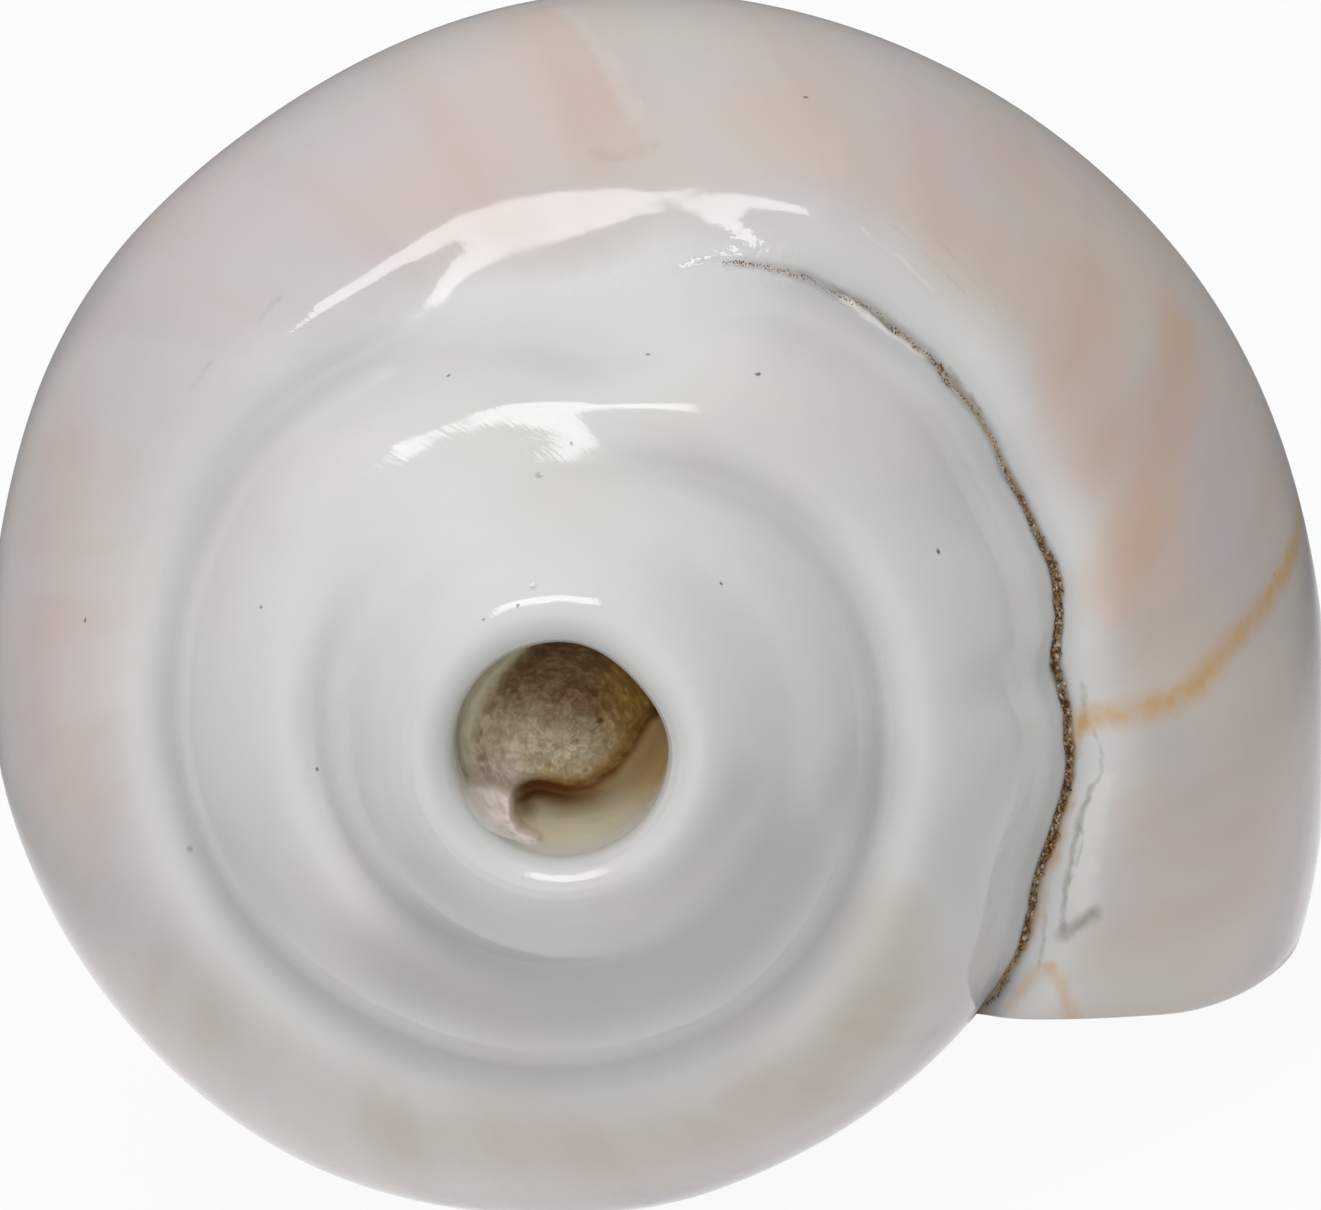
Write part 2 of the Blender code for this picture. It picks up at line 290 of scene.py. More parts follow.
# Where it blurs more, on the newest suture and on older ones: degrees, half width, mm more
MOST_POLISHED = ((-122.0, 42.0, 5.2), (-155.0, 60.0, 3.0))
MOST_REACH = 9.0                                  # mm further that it reaches there
CRACK_CLOSES = (96.0, 120.0)                      # degrees back from the lip where the crack ends
CRACK_WIDTH, CRACK_DEPTH = 0.5, 0.5               # half its width, mm, and its depth
CRACK_WAY = (-0.28, 0.96)                         # the way it is cut, out and towards the canal
TROUGH = (4.2, 1.5, 0.30)                         # the spire's hollow beside it: mm in, width, depth
TILT_OVER = 1.5                                   # mm over which the slope of the spire is taken
HOLLOW_FULL = 0.36                                # radians in 1 mm that it turns in a full hollow
GROOVE_OPENS = (0.486, -1.65)                     # the way it opens, out and towards the apex
RIM_HEIGHT = 9.1
RIM_PROFILE = np.array([                          # radius on the spire, and where it goes
    (0.0, 0.0, 24.0), (3.3, 4.4, 23.6), (5.0, 5.9, 21.8), (6.2, 6.0, 16.0), (6.8, 6.0, 12.2),
    (7.2, 6.08, 11.0), (7.6, 6.3, 10.25), (8.0, 6.7, 9.7), (8.4, 7.2, 9.35), (8.8, 7.7, 9.2),
    (9.2, 8.2, 9.27), (9.7, 8.85, 9.62), (10.3, 9.6, 10.25), (11.2, 10.75, 11.55),
    (12.2, 12.1, 13.2), (13.4, 13.4, 15.0)])
RIM_BLENDS = (11.0, 13.2)
HOLE_FLAT = (math.radians(-42.0), math.radians(46.0), 0.06)       # azimuth, half width, share
HOLE_FLAT_RADII = (8.4, 7.0)                      # where it starts on the rim and where it is full
BORE_OFFSET = (-0.45, -0.03)                      # how far it was drilled beside the axis


def azimuth_of(points):
    return np.arctan2(-points[..., 2], points[..., 0])


def radius_of(points):
    return np.hypot(points[..., 0], points[..., 2])


def scale_radius(points, factor):
    points[..., 0] *= factor
    points[..., 2] *= factor


def shift(points, amount, way=(1.0, 0.0)):
    """Moves points by an amount in mm, each mm so far out from the axis and so far along it."""
    scale_radius(points, 1.0 + way[0] * amount * MM / radius_of(points))
    points[..., 1] += way[1] * amount * MM


def run_along(points):
    """The length of the way along lines of points, from the first point of each."""
    steps = np.linalg.norm(np.diff(points, axis=-2), axis=-1)
    return np.insert(np.cumsum(steps, axis=-1), 0, 0.0, axis=-1)


def away_from(angle, place, whole_turn=math.tau):
    """How far an angle is from another one, the shorter way round."""
    return (angle - place + whole_turn / 2.0) % whole_turn - whole_turn / 2.0


def between(low, high, x):
    """0 below low, 1 above high, smooth in between."""
    return smooth((x - low) / (high - low))


def swelling(turn, places):
    """How far the shell swells or sinks at a growth angle, as a share of its radius."""
    degrees = np.degrees(turn)
    return sum(share * smooth(1.0 - np.abs(degrees - place) / width)
               for place, width, share in places)


def worn_step(turn):
    """1 where the steps of the spire are whole, 0 where they are ground away."""
    return between(WORN_SMOOTH, WORN_FROM, turn)


outline_radius, outline_height = outline_at(shoulder_row)[..., 0], outline_at(shoulder_row)[..., 1]
size = np.exp(GROWTH_RATE * shoulder_turn)
step = worn_step(shoulder_turn)
share = (outline_radius - SUTURE[0]) / (SUTURE[0] * (WHORL_GROWTH - 1.0))
worn_height = SUTURE[1] * (1.0 + (WHORL_GROWTH - 1.0) * share) - WORN_BULGE * hump(share)
shoulder[..., 1] += MM * size * (1.0 - step) * (worn_height - outline_height)

older = shoulder_turn < -math.tau - 1e-4
at_body = np.where(older, swelling(shoulder_turn + math.tau, SUTURE_SHIFTS),
                   swelling(shoulder_turn, SWELLINGS))
at_suture = swelling(shoulder_turn, SUTURE_SHIFTS)
scale_radius(shoulder, 1.0 + at_suture + (at_body - at_suture) * smooth(share))
scale_radius(body, 1.0 + swelling(body_turn, SWELLINGS) * (1.0 - neck_share(body_row)))


def begun(turn):
    """0 at the lip, 1 where the suture is a few degrees old."""
    return between(*LIP_SUTURE, -np.degrees(turn))


# The suture is rounded, first by filling the groove of the bare outline
def suture_rounding(distance, turn):
    """How far the rounding fills the groove, at a distance from it and a growth angle along it."""
    width = np.exp(GROWTH_RATE * turn) * (SHARP_SUTURE + (ROUNDED_SUTURE - SHARP_SUTURE) * begun(turn))
    fill = width * np.clip(1.0 - distance / width, 0.0, 1.0) ** 2 / 4.0
    return np.where(turn < 1e-4, fill * worn_step(turn), 0.0)


along = run_along(outline_at(shoulder_rows))
fill = (suture_rounding(along * size, shoulder_turn)
        + suture_rounding((along[-1] - along) * size, shoulder_turn + math.tau))
shift(shoulder, fill, GROOVE_OPENS)

# The polishing wheel has blurred it too: each profile of the spire, from its oldest whorl out to
# the last, is averaged along itself where it crosses a suture
valley = np.zeros(shoulder_row.shape)             # and where it is hollow, dirt has dulled it and painted shade greys it
for first in range(COLUMNS):
    columns = np.arange(first, len(shoulder), COLUMNS)
    profile = np.concatenate([shoulder[columns, :-1].reshape(-1, 3), shoulder[columns[-1], -1:]])
    along = run_along(profile) / MM
    weight = np.gradient(along)
    blur, shiny = np.full(len(along), 1e-3), 0.0
    for crossing, column in enumerate(columns[1:], 1):
        turn_here = shoulder_turn[column, 0]
        degrees_here = math.degrees(turn_here)
        size_here = np.exp(GROWTH_RATE * turn_here)
        most_at, most_width, most_blur = MOST_POLISHED[int(turn_here < -math.tau)]
        most = (smooth(1.0 - abs(away_from(degrees_here, most_at, 360.0)) / most_width)
                * between(CRACK_CLOSES[0], CRACK_CLOSES[1] - 4.0, -degrees_here))
        off = np.abs(along - along[crossing * (SHOULDER_ROWS - 1)])
        off /= (POLISH_REACH + MOST_REACH * most) * size_here
        width = POLISHED_SUTURE * size_here + most_blur * most
        blur = np.maximum(blur, width * begun(turn_here) * (1.0 - smooth(off)))
        shiny = np.maximum(shiny, most * (1.0 - smooth(off)))
    between_points = (along[None, :] - along[:, None]) ** 2
    share_of = np.exp(-0.5 * between_points / blur[:, None] ** 2) * weight
    profile = share_of @ profile / share_of.sum(axis=1)[:, None]
    tilt = np.arctan2(np.gradient(profile[:, 1]), np.gradient(radius_of(profile)))
    share_of = np.exp(-0.5 * between_points / TILT_OVER ** 2) * weight
    tilt = share_of @ tilt / share_of.sum(axis=1)
    hollow_here = between(0.0, HOLLOW_FULL, -np.gradient(tilt, along)) * (1.0 - shiny ** 2)
    for grid, values in ((shoulder, profile), (valley, hollow_here)):
        grid[columns, :-1] = values[:-1].reshape((len(columns), -1) + values.shape[1:])
        grid[columns[:-1], -1] = grid[columns[1:], 0]


def crack_wander(turns):
    """How far the open crack strays from the suture, in millimetres, towards the last whorl."""
    return np.array([0.42 * noise.noise(Vector((turn * 9.0, 0.0, 9.0)))
                     + 0.16 * noise.noise(Vector((turn * 31.0, 0.0, 2.0))) for turn in turns])


# On the newest part it is still an open crack, with a shallow trough beside it on the spire
along = run_along(shoulder) / MM
crack = 0.0
for distance, turn, trough in ((along, shoulder_turn[:, :1], 0.0),
                               (along[:, -1:] - along, shoulder_turn[:, :1] + math.tau, 1.0)):
    unclosed = between(CRACK_CLOSES[1], CRACK_CLOSES[0], -np.degrees(turn)) * (turn < 1e-4)
    strayed = crack_wander(turn[:, 0])[:, None] * (2.0 * trough - 1.0)
    crack = crack + unclosed * CRACK_DEPTH * np.clip(
        1.0 - np.abs(distance + strayed) / CRACK_WIDTH, 0.0, 1.0)
    crack = crack + (begun(turn) * unclosed * trough * TROUGH[2]
                     * np.exp(-((distance - TROUGH[0]) / TROUGH[1]) ** 2))
shift(shoulder, crack, CRACK_WAY)

# The apex: the spire's surface bent over the rim and down the bore
on_spire = radius_of(shoulder) / MM
bent_radius, bent_height = (np.interp(on_spire, RIM_PROFILE[:, 0], RIM_PROFILE[:, k])
                            for k in (1, 2))
keep = between(*RIM_BLENDS, on_spire)
flat_at, flat_width, flat_share = HOLE_FLAT
off_flat = np.abs(away_from(azimuth_of(shoulder), flat_at))
bent_radius *= 1.0 - (flat_share * smooth(1.0 - off_flat / flat_width)
                      * between(*HOLE_FLAT_RADII, bent_radius))
scale_radius(shoulder, (bent_radius * (1.0 - keep) + on_spire * keep) / on_spire)
shoulder[..., 1] = bent_height * MM * (1.0 - keep) + shoulder[..., 1] * keep
for axis, offset in zip((0, 2), BORE_OFFSET):
    shoulder[..., axis] += offset * MM * (1.0 - keep)


# ---- Mouth, canal and hollow ------------------------------------------------------------------
# The inner side of the mouth sinks into the columella, which carries the chank's three or four
# low folds, and the neck of the shell is one long trough for the siphon. The hollow is the mouth
# itself, carried back along the coil and thickened inside by later layers.

WALL, LIP_FULLNESS = 3.4, 0.2                     # mm, and the share by which its edge stands out
NECK_THINNER, SUTURE_WALL = 0.6, 0.1              # shares lost at the neck and left at the suture
COLUMELLA_HOLLOW, HOLLOW_SPREAD = 0.38, 1.0       # share of the radius, radians from the lip
FOLD_ROWS, FOLD_HEIGHT, FOLD_WIDTH = (11.3, 12.35, 13.3, 14.15), 0.055, 0.36
CANAL_DEPTH, CANAL_HALF_WIDTH, CANAL_FULL = 5.6, 4.2, 10.0         # full from this radius on
HOLLOW_TURNS, HOLLOW_COLUMNS = 1.15, 72
HOLLOW_THINNER, HOLLOW_SHORTER = 0.18, 0.08


def neck_begun(row):
    """0 at the mouth's widest part, 1 from the neck on."""
    return smooth((row - NECK + 5) / 5)


from_inner_lip = body_turn + math.tau - inner_lip(np.minimum(body_row, NECK))
near = 1.0 - smooth(from_inner_lip / HOLLOW_SPREAD)
sunk = COLUMELLA_HOLLOW * near * hump((body_row - SEAM - 2) / (NECK - SEAM - 2))
folds = sum(np.exp(-((body_row - row) / FOLD_WIDTH) ** 2) for row in FOLD_ROWS)
scale_radius(body, 1.0 - sunk + FOLD_HEIGHT * folds * near ** 3)
off_canal = np.abs(away_from(azimuth_of(body), CANAL_AZIMUTH))
across = np.minimum(off_canal * radius_of(body) / MM / CANAL_HALF_WIDTH, 1.0)
depth = CANAL_DEPTH * neck_begun(body_row) * np.minimum(radius_of(body) / MM / CANAL_FULL, 1.0)
shift(body, -depth * (1.0 - across ** 2) ** 2)


def turned(points, angle):
    """Points turned about the coiling axis."""
    cosine, sine = np.cos(angle), np.sin(angle)
    return np.stack([points[..., 0] * cosine + points[..., 2] * sine, points[..., 1],
                     points[..., 2] * cosine - points[..., 0] * sine], axis=-1)


# The outer lip: round between its outer edge and its inner one, a wall's thickness further in
neck_column = int(np.searchsorted(body_rows, NECK))
lip_rows = np.concatenate([shoulder_rows[:-1], body_rows[:neck_column + 1]])
outer_edge = np.concatenate([shoulder[-1, :-1], body[-1, :neck_column + 1]])
slope = np.gradient(outline_at(lip_rows), axis=0)
slope /= np.linalg.norm(slope, axis=1)[:, None]
wall = WALL * (1.0 - NECK_THINNER * neck_begun(lip_rows))
wall *= SUTURE_WALL + (1.0 - SUTURE_WALL) * between(0.6, 4.0, lip_rows)
inner_edge = outer_edge.copy()
shift(inner_edge, wall, (-slope[:, 1], slope[:, 0]))

inner_side = body[0, :neck_column + 1]
lip = []
for step_in in range(LIP_STEPS + 1):
    inwards = (1.0 - math.cos(math.pi * step_in / LIP_STEPS)) / 2.0
    middle = outer_edge + (inner_edge - outer_edge) * inwards
    ahead = (LIP_FULLNESS * WALL * MM * smooth(lip_rows / 5.0) / radius_of(middle)
             * math.sin(math.pi * step_in / LIP_STEPS))
    line = turned(middle, ahead)
    at_suture = between(1.0, 0.0, lip_rows)[:, None]
    at_neck = between(NECK - 1, NECK, lip_rows)[:, None]
    line += (inner_side[step_in] - line) * at_suture
    line += (inner_side[neck_column - step_in] - line) * at_neck
    lip.append(line)
lip = np.stack(lip)

# The hollow: the loop of the mouth turned back and shrunk about its own middle
mouth = np.concatenate([lip[-1], inner_side[neck_column - LIP_STEPS - 1:LIP_STEPS:-1]])
centre = mouth.mean(axis=0)
hollow = []
for column in range(round(HOLLOW_TURNS * HOLLOW_COLUMNS) + 1):
    back = column * math.tau / HOLLOW_COLUMNS
    size = math.exp(-GROWTH_RATE * back)
    across = size * (1.0 - HOLLOW_THINNER * smooth(back / math.tau))
    along = size * (1.0 - HOLLOW_SHORTER * smooth(2.0 * back / math.tau))
    hollow.append(turned(centre * size + (mouth - centre) * (across, along, across), -back))
hollow = np.stack(hollow)


# ---- One skin over it all ---------------------------------------------------------------------
# A shell has no joints: outside, lip and hollow are one closed body. It lies on a flat surface,
# mouth down, as the frame holds it, and carries a map of how it grew for its markings.

REST_ROLL, REST_TIP = math.radians(8.81), math.radians(-12.11)     # about the axis and across it
rim = frame["record"]["mounts"][0]
RIM_MOUNT_RADIUS = 7.4
LIP_GLAZE = 0.3                                   # how warm the lip is, and deep inside 1
rest_turn = Matrix.Rotation(REST_TIP, 3, "X") @ Matrix.Rotation(REST_ROLL, 3, "Y")
rest_place = Vector(rim["pos_m"]) - rest_turn @ Vector((0.0, RIM_HEIGHT, RIM_MOUNT_RADIUS)) * MM


def in_place(points):
    """Points of the shell's own frame, laid where the shell rests."""
    return points @ np.array(rest_turn).T + np.array(rest_place)


def sheet_faces(columns, rows, start, closed=False):
    """Quads between the points of a grid whose first point has the index start."""
    first = np.arange(columns - 1)[:, None] * rows
    second = np.arange(rows if closed else rows - 1)
    after = (second + 1) % rows
    corners = [first + second, first + after, first + rows + after, first + rows + second]
    return (start + np.stack(corners, axis=-1)).reshape(-1, 4)


inner_wall = near * smooth((body_row - SEAM) / 2.0) * (1.0 - smooth((body_row - NECK) / 2.0))
mouth_rows = np.concatenate([lip_rows, body_rows[neck_column - LIP_STEPS - 1:LIP_STEPS:-1]])
lip_depth = LIP_GLAZE * np.linspace(0.0, 1.0, LIP_STEPS + 1)[:, None]
back = np.linspace(0.0, 1.0, len(hollow))[:, None]
# Each sheet with its turns, rows, how far inside and how hollow it is, and whether its rows close
sheets = (
    (shoulder, shoulder_turn / math.tau, shoulder_row, 0.0, valley, False),
    (body, body_turn / math.tau, body_row, LIP_GLAZE * inner_wall, 0.0, False),
    (lip, body_turn[-1, 0] / math.tau, lip_rows, lip_depth, 0.0, False),
    (hollow, -HOLLOW_TURNS * back, mouth_rows, LIP_GLAZE + (1.0 - LIP_GLAZE) * smooth(6.0 * back),
     0.0, True))
faces, start = [], 0
for grid, *_, closed in sheets:
    faces.append(sheet_faces(*grid.shape[:2], start, closed))
    start += grid.shape[0] * grid.shape[1]
faces = np.concatenate(faces)
turn_map, row_map, inside, hollow_map = (
    np.concatenate([np.broadcast_to(sheet[k], sheet[0].shape[:2]).ravel() for sheet in sheets])
    for k in (1, 2, 3, 4))
skin_mesh = bpy.data.meshes.new("shell_skin")
skin_mesh.from_pydata(in_place(np.concatenate([sheet[0].reshape(-1, 3) for sheet in sheets])).tolist(),
                      [], faces.tolist())
growth_map = skin_mesh.uv_layers.new(name="growth")
growth_map.data.foreach_set("uv", np.stack([turn_map, row_map], axis=-1)[faces.ravel()].ravel())
store(skin_mesh, "inside", inside)
store(skin_mesh, "valley", hollow_map)

joined = bmesh.new()
joined.from_mesh(skin_mesh)
bmesh.ops.remove_doubles(joined, verts=joined.verts, dist=2e-6)
bmesh.ops.dissolve_degenerate(joined, edges=joined.edges, dist=1e-7)
bmesh.ops.holes_fill(joined, edges=joined.edges, sides=0)
bmesh.ops.recalc_face_normals(joined, faces=joined.faces)
joined.to_mesh(skin_mesh)
joined.free()
skin_mesh.shade_smooth()
shell = new_object("conch", skin_mesh)
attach(shell, "root")
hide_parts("shell")


# ---- Polish and markings ----------------------------------------------------------------------
# The brown skin is ground off and the bare aragonite polished with a little wax: china white on
# the spire, flesh pink below the shoulder, with peach stains and grey cracks along old growth
# lines. The inside was always glazed by the animal, and is a warmer white. Painted shade greys
# the hollows beside the sutures, the lower spire and parts of the outer edge.

def linear(hex_colour):
    """A linear colour from an sRGB hex value."""
    values = [int(hex_colour[k:k + 2], 16) / 255.0 for k in (1, 3, 5)]
    return [v / 12.92 if v <= 0.04045 else ((v + 0.055) / 1.055) ** 2.4 for v in values] + [1.0]


def on_shell(whorls, row):
    """The point of the finished surface at a growth angle, in whorls, and a row."""
    grid, turns, rows = ((shoulder, shoulder_turn, shoulder_rows) if row <= SEAM
                         else (body, body_turn, body_rows))
    upper = int(np.clip(np.searchsorted(rows, row), 1, len(rows) - 1))
    ends = [[np.interp(whorls * math.tau, turns[:, k], grid[:, k, axis]) for axis in range(3)]
            for k in (upper - 1, upper)]
    part = (row - rows[upper - 1]) / (rows[upper] - rows[upper - 1])
    return in_place(np.array(ends[0]) * (1.0 - part) + np.array(ends[1]) * part)


def nearest_on(places, line):
    """The way to many places from the nearest point of a line, and the number of its piece there."""
    ways, nearest = np.zeros(places.shape), np.full(len(places), np.inf)
    pieces = np.zeros(len(places), int)
    for number, (start, end) in enumerate(zip(line, line[1:])):
        reach, away = end - start, places - start
        away = away - np.outer(np.clip(away @ reach / (reach @ reach), 0.0, 1.0), reach)
        distance = np.linalg.norm(away, axis=1)
        closer = distance < nearest
        ways[closer], nearest[closer], pieces[closer] = away[closer], distance[closer], number
    return ways, pieces


skin_places = np.empty(3 * len(skin_mesh.vertices), np.float32)
skin_mesh.vertices.foreach_get("co", skin_places)
skin_places = skin_places.reshape(-1, 3).astype(float)


def way_from(points):
    """The way to every point of the skin from the nearest of a line drawn on it, in metres."""
    return nearest_on(skin_places, [on_shell(*point) for point in points])[0]


def set_tones(ramp, tones):
    """Gives a colour ramp its colours, each at its place."""
    for position, tone in tones[1:-1]:
        ramp.elements.new(position)
    for element, (position, tone) in zip(ramp.elements, tones):
        element.position, element.color = position, linear(tone)


# The flesh colour of the last whorl, by its age in whorls
FLESH_TONES = ((0.96, "#dfd8d2"), (0.78, "#e0d9d4"), (0.62, "#dad1cd"), (0.45, "#cec6c4"),
               (0.33, "#cec5c0"), (0.19, "#cfc2b8"), (0.02, "#dad0c9"))
# Soft stains, and grey patches of painted shade, kept on the mesh: strength, core and edge in mm, and
# the (whorls, row) they follow
STAINS_AND_PAINTED_SHADE = {
    "peach": ("#d2a785", (
        (0.30, 1.0, 5.0, ((-0.219, 4.4), (-0.205, 3.5), (-0.188, 2.6))),
        (0.36, 0.6, 3.6, ((-0.194, 5.4), (-0.176, 4.2), (-0.160, 3.2), (-0.144, 2.1))),
        (0.20, 0.5, 4.6, ((-0.376, 6.4), (-0.366, 5.2), (-0.356, 4.2))),
        (0.16, 0.8, 5.0, ((-0.31, 4.2), (-0.27, 3.6), (-0.24, 3.4))),
        (0.26, 1.0, 7.0, ((-0.30, 11.0), (-0.34, 13.0))),
        (0.28, 1.0, 8.0, ((-0.58, 9.5), (-0.62, 12.0))),
        (0.26, 1.0, 7.0, ((-0.12, 12.0), (-0.16, 15.0))))),
    "rose": ("#cf9b9b", (
        (0.16, 1.0, 6.0, ((-0.54, 4.9), (-0.58, 4.2), (-0.61, 4.6))),
        (0.12, 1.0, 7.0, ((-0.24, 6.0), (-0.27, 5.2))),
        (0.18, 1.0, 9.0, ((-0.45, 8.0), (-0.50, 11.0))))),
    # Grey: partly a lavender-grey tint, partly painted shade on the lower spire, round the lower side
    # of the mouth hole and along the outer edge
    "grey": ("#a8a5ae", (
        (0.50, 1.0, 7.5, ((-1.7735, 1.78), (-1.8514, 2.04), (-1.9315, 1.99), (-2.015, 1.91))),
        (0.20, 0.3, 3.4, ((-2.734, 2.9), (-2.80, 3.8), (-2.86, 4.3), (-2.93, 4.4), (-2.983, 3.9),
                          (-3.068, 4.46))),
        (0.26, 0.5, 5.0, ((-1.80, 0.9), (-1.851, 0.58), (-1.931, 0.45), (-1.99, 1.4), (-2.05, 3.2),
                          (-2.08, 4.5))),
        (0.42, 1.0, 7.5, ((-0.150, 7.4), (-0.116, 6.7), (-0.081, 6.4), (-0.058, 6.4), (-0.044, 6.0))),
        (0.40, 1.5, 6.0, ((-0.83, 6.2), (-0.90, 6.3), (-0.93, 6.6), (-0.96, 6.3), (-0.988, 6.0))),
        (0.36, 1.0, 5.0, ((-0.50, 6.6), (-0.56, 7.2), (-0.62, 6.8))))),
    "sand": ("#c4b8a6", (
        (0.40, 0.8, 5.0, ((-1.015, 2.2), (-0.985, 3.2), (-0.95, 4.2))),
        (0.20, 1.0, 5.0, ((-0.80, 3.4), (-0.86, 3.0), (-0.93, 3.4)))))}
# Thin lines, which wander a little: colour, strength, core and edge in mm, and their points
LINES = (
    ("#d7cfcc", 0.45, 0.3, 0.9, ((-0.366, 6.6), (-0.352, 4.9), (-0.344, 4.1))),
    ("#f4f3f0", 0.85, 0.12, 0.5, ((-1.268, 6.86), (-1.254, 6.78), (-1.236, 6.90))),
    ("#7d7b73", 0.70, 0.03, 0.22, ((-0.272, 0.35), (-0.259, 0.12), (-0.245, 0.15))),
    ("#e3e3dc", 0.60, 0.3, 1.3, ((-0.084, 1.5), (-0.076, 1.4), (-0.064, 1.65), (-0.0494, 1.85))),
    ("#cfa35c", 0.64, 0.05, 1.4, ((-0.1027, 0.77), (-0.1055, 1.9), (-0.1075, 3.0), (-0.1125, 3.7),
                                   (-0.121, 4.3), (-0.128, 5.1), (-0.1345, 5.9), (-0.142, 7.0),
                                   (-0.155, 8.6), (-0.175, 10.4))),
    ("#c49a5c", 0.60, 0.05, 0.6, ((-0.1027, 0.77), (-0.098, 0.42), (-0.088, 0.2), (-0.075, 0.4),
                                  (-0.054, 0.5), (-0.033, 0.42), (-0.012, 0.2))),
    ("#d2a878", 0.40, 0.05, 0.75, ((-0.009, 0.95), (-0.021, 1.1), (-0.0255, 1.45))),
    ("#d2a878", 0.40, 0.05, 0.75, ((-0.0255, 1.5), (-0.024, 1.9), (-0.012, 2.35), (-0.006, 2.5))),
    ("#b99577", 0.22, 0.1, 0.7, ((-0.356, 3.7), (-0.349, 3.65), (-0.340, 3.75))),
    ("#a09e93", 0.55, 0.02, 0.26, ((-0.1157, 1.35), (-0.106, 0.95), (-0.103, 0.8))),
    ("#a09e93", 0.45, 0.02, 0.20, ((-0.1014, 1.23), (-0.0943, 1.43), (-0.0871, 1.49), (-0.0823, 1.24))),
    ("#8a887c", 0.66, 0.02, 0.34, ((-0.0823, 1.24), (-0.078, 1.15), (-0.0707, 1.14), (-0.064, 1.24),
                                   (-0.0501, 1.38), (-0.0363, 1.58))),
    ("#8f8c7c", 0.62, 0.05, 0.75, ((-0.0363, 1.60), (-0.039, 1.75), (-0.0454, 2.18))),
    ("#9c9a8d", 0.45, 0.02, 0.20, ((-0.0707, 1.14), (-0.066, 1.45), (-0.060, 1.5), (-0.053, 1.45))),
    ("#98958d", 0.60, 0.02, 0.24, ((-0.0413, 0.85), (-0.0327, 1.07), (-0.0233, 1.24))),
    ("#b0aea8", 0.45, 0.05, 0.30, ((-0.46, 3.05), (-0.468, 2.9))),
    ("#b0aea8", 0.35, 0.05, 0.35, ((-0.49, 2.9), (-0.50, 2.8))),
    ("#b9aaa4", 0.35, 0.02, 0.22, ((-0.268, 2.9), (-0.240, 2.55))),
    ("#b9aaa4", 0.30, 0.02, 0.20, ((-0.255, 3.1), (-0.228, 2.75))),
    ("#eae6e2", 0.45, 0.02, 0.24, ((-0.275, 2.5), (-0.246, 2.2))),
    ("#8e8a80", 0.60, 0.02, 0.26, ((-0.2265, 0.42), (-0.219, 0.30), (-0.211, 0.40))))
# Small pits: colour, radius in mm, and their places
PITS = (("#8a6438", 0.22, ((-0.3025, 4.68),)),
        ("#6f706a", 0.20, ((-1.4152, 4.38), (-1.3286, 4.32), (-1.2834, 3.74), (-1.1814, 3.60),
                           (-2.3584, 6.73), (-1.5491, 3.19), (-0.5809, 3.12), (-2.6318, 6.27))),
        ("#55564f", 0.16, ((-2.2377, 1.83), (-3.4014, 4.74), (-3.37, 4.6), (-3.44, 4.9))))
WRINKLED = ((-0.358, 1.25), (-0.335, 1.15), (-0.318, 0.9), (-0.288, 0.35))
# Clouds: how far aside their pattern is taken, colour and strength
CLOUDS = ((0.0, "#d6bdb6", 0.30), (3.1, "#c9d0c0", 0.26), (7.7, "#bcc0cf", 0.30))
SHELL_WHITE, BAND_TONE, SOAKED_TONE = "#dddedb", "#c2a08c", "#b39867"
VALLEY_SHADE_TONE, PIN_TONE, GLAZE_TONE = "#98999b", "#96968f", "#e6cdb9"
VALLEY_SHADE, VALLEY_ROUGHNESS = 0.38, 0.40              # how far painted shade greys the hollows, and how far dirt dulls them
LINE_WANDER = 0.8                                 # mm
GROWTH_LEAN = 0.0078                              # whorls by which an old lip lags behind in one row
GROWTH_BANDS, GROWTH_LAYERS = (40.0, 0.16), (420.0, 0.9)           # in one whorl and in one row
RELIEF = 0.07                                     # depth of the waves and layers in the polish, mm

place = add_node(coat, "TexCoord", out="Object")
growth = add_node(coat, "UVMap", uv_map="growth")
whorl, row, _ = add_node(coat, "SeparateXYZ", [growth], out=None)
inside, hollow_part = (add_node(coat, "Attribute", attribute_name=name, out="Fac")
                       for name in ("inside", "valley"))
covers = []                                       # tones over the shell's own, with their shares

# Flesh pink starts below the white band of the shoulder, and only on the last whorl. A MapRange
# takes a value, the two ends of its range and the two ends of the new one, 0 to 1 by itself
drift = add_node(coat, "TexNoise", {"Vector": place, "Scale": 70.0, "Detail": 3.0})
drifted = add_node(coat, "Math", [drift, 2.2, row], operation="MULTIPLY_ADD")
below, newest = (add_node(coat, "MapRange", [value, low, high], interpolation_type="SMOOTHSTEP")
                 for value, low, high in ((drifted, 1.9, 4.3), (whorl, -1.06, -0.96)))
flesh = add_node(coat, "Math", [below, newest], operation="MULTIPLY")
youth = add_node(coat, "Math", [whorl, 1.0], operation="ADD", use_clamp=True)
flesh_colour = add_node(coat, "ValToRGB", [youth])
set_tones(flesh_colour.node.color_ramp, [(1.0 - age, tone) for age, tone in FLESH_TONES])
colour = add_node(coat, "Mix", {0: flesh, 6: linear(SHELL_WHITE), 7: flesh_colour}, data_type="RGBA",
                  out=2)

# Milky clouds of pink, green and blue, some 15 mm across, as in any thick polished shell
for aside, tone, strength in CLOUDS:
    moved = add_node(coat, "VectorMath", [place, (aside, aside, 0.0)], operation="ADD")
    cloud = add_node(coat, "TexNoise", {"Vector": moved, "Scale": 62.0, "Detail": 2.0,
                                        "Roughness": 0.55})
    covers.append((tone, add_node(coat, "MapRange", [cloud, 0.47, 0.75, 0.0, strength])))

# Painted shade: the hollows beside the sutures are greyed, the more the sharper they are hollowed
covers.append((VALLEY_SHADE_TONE, hollow_part, VALLEY_SHADE))

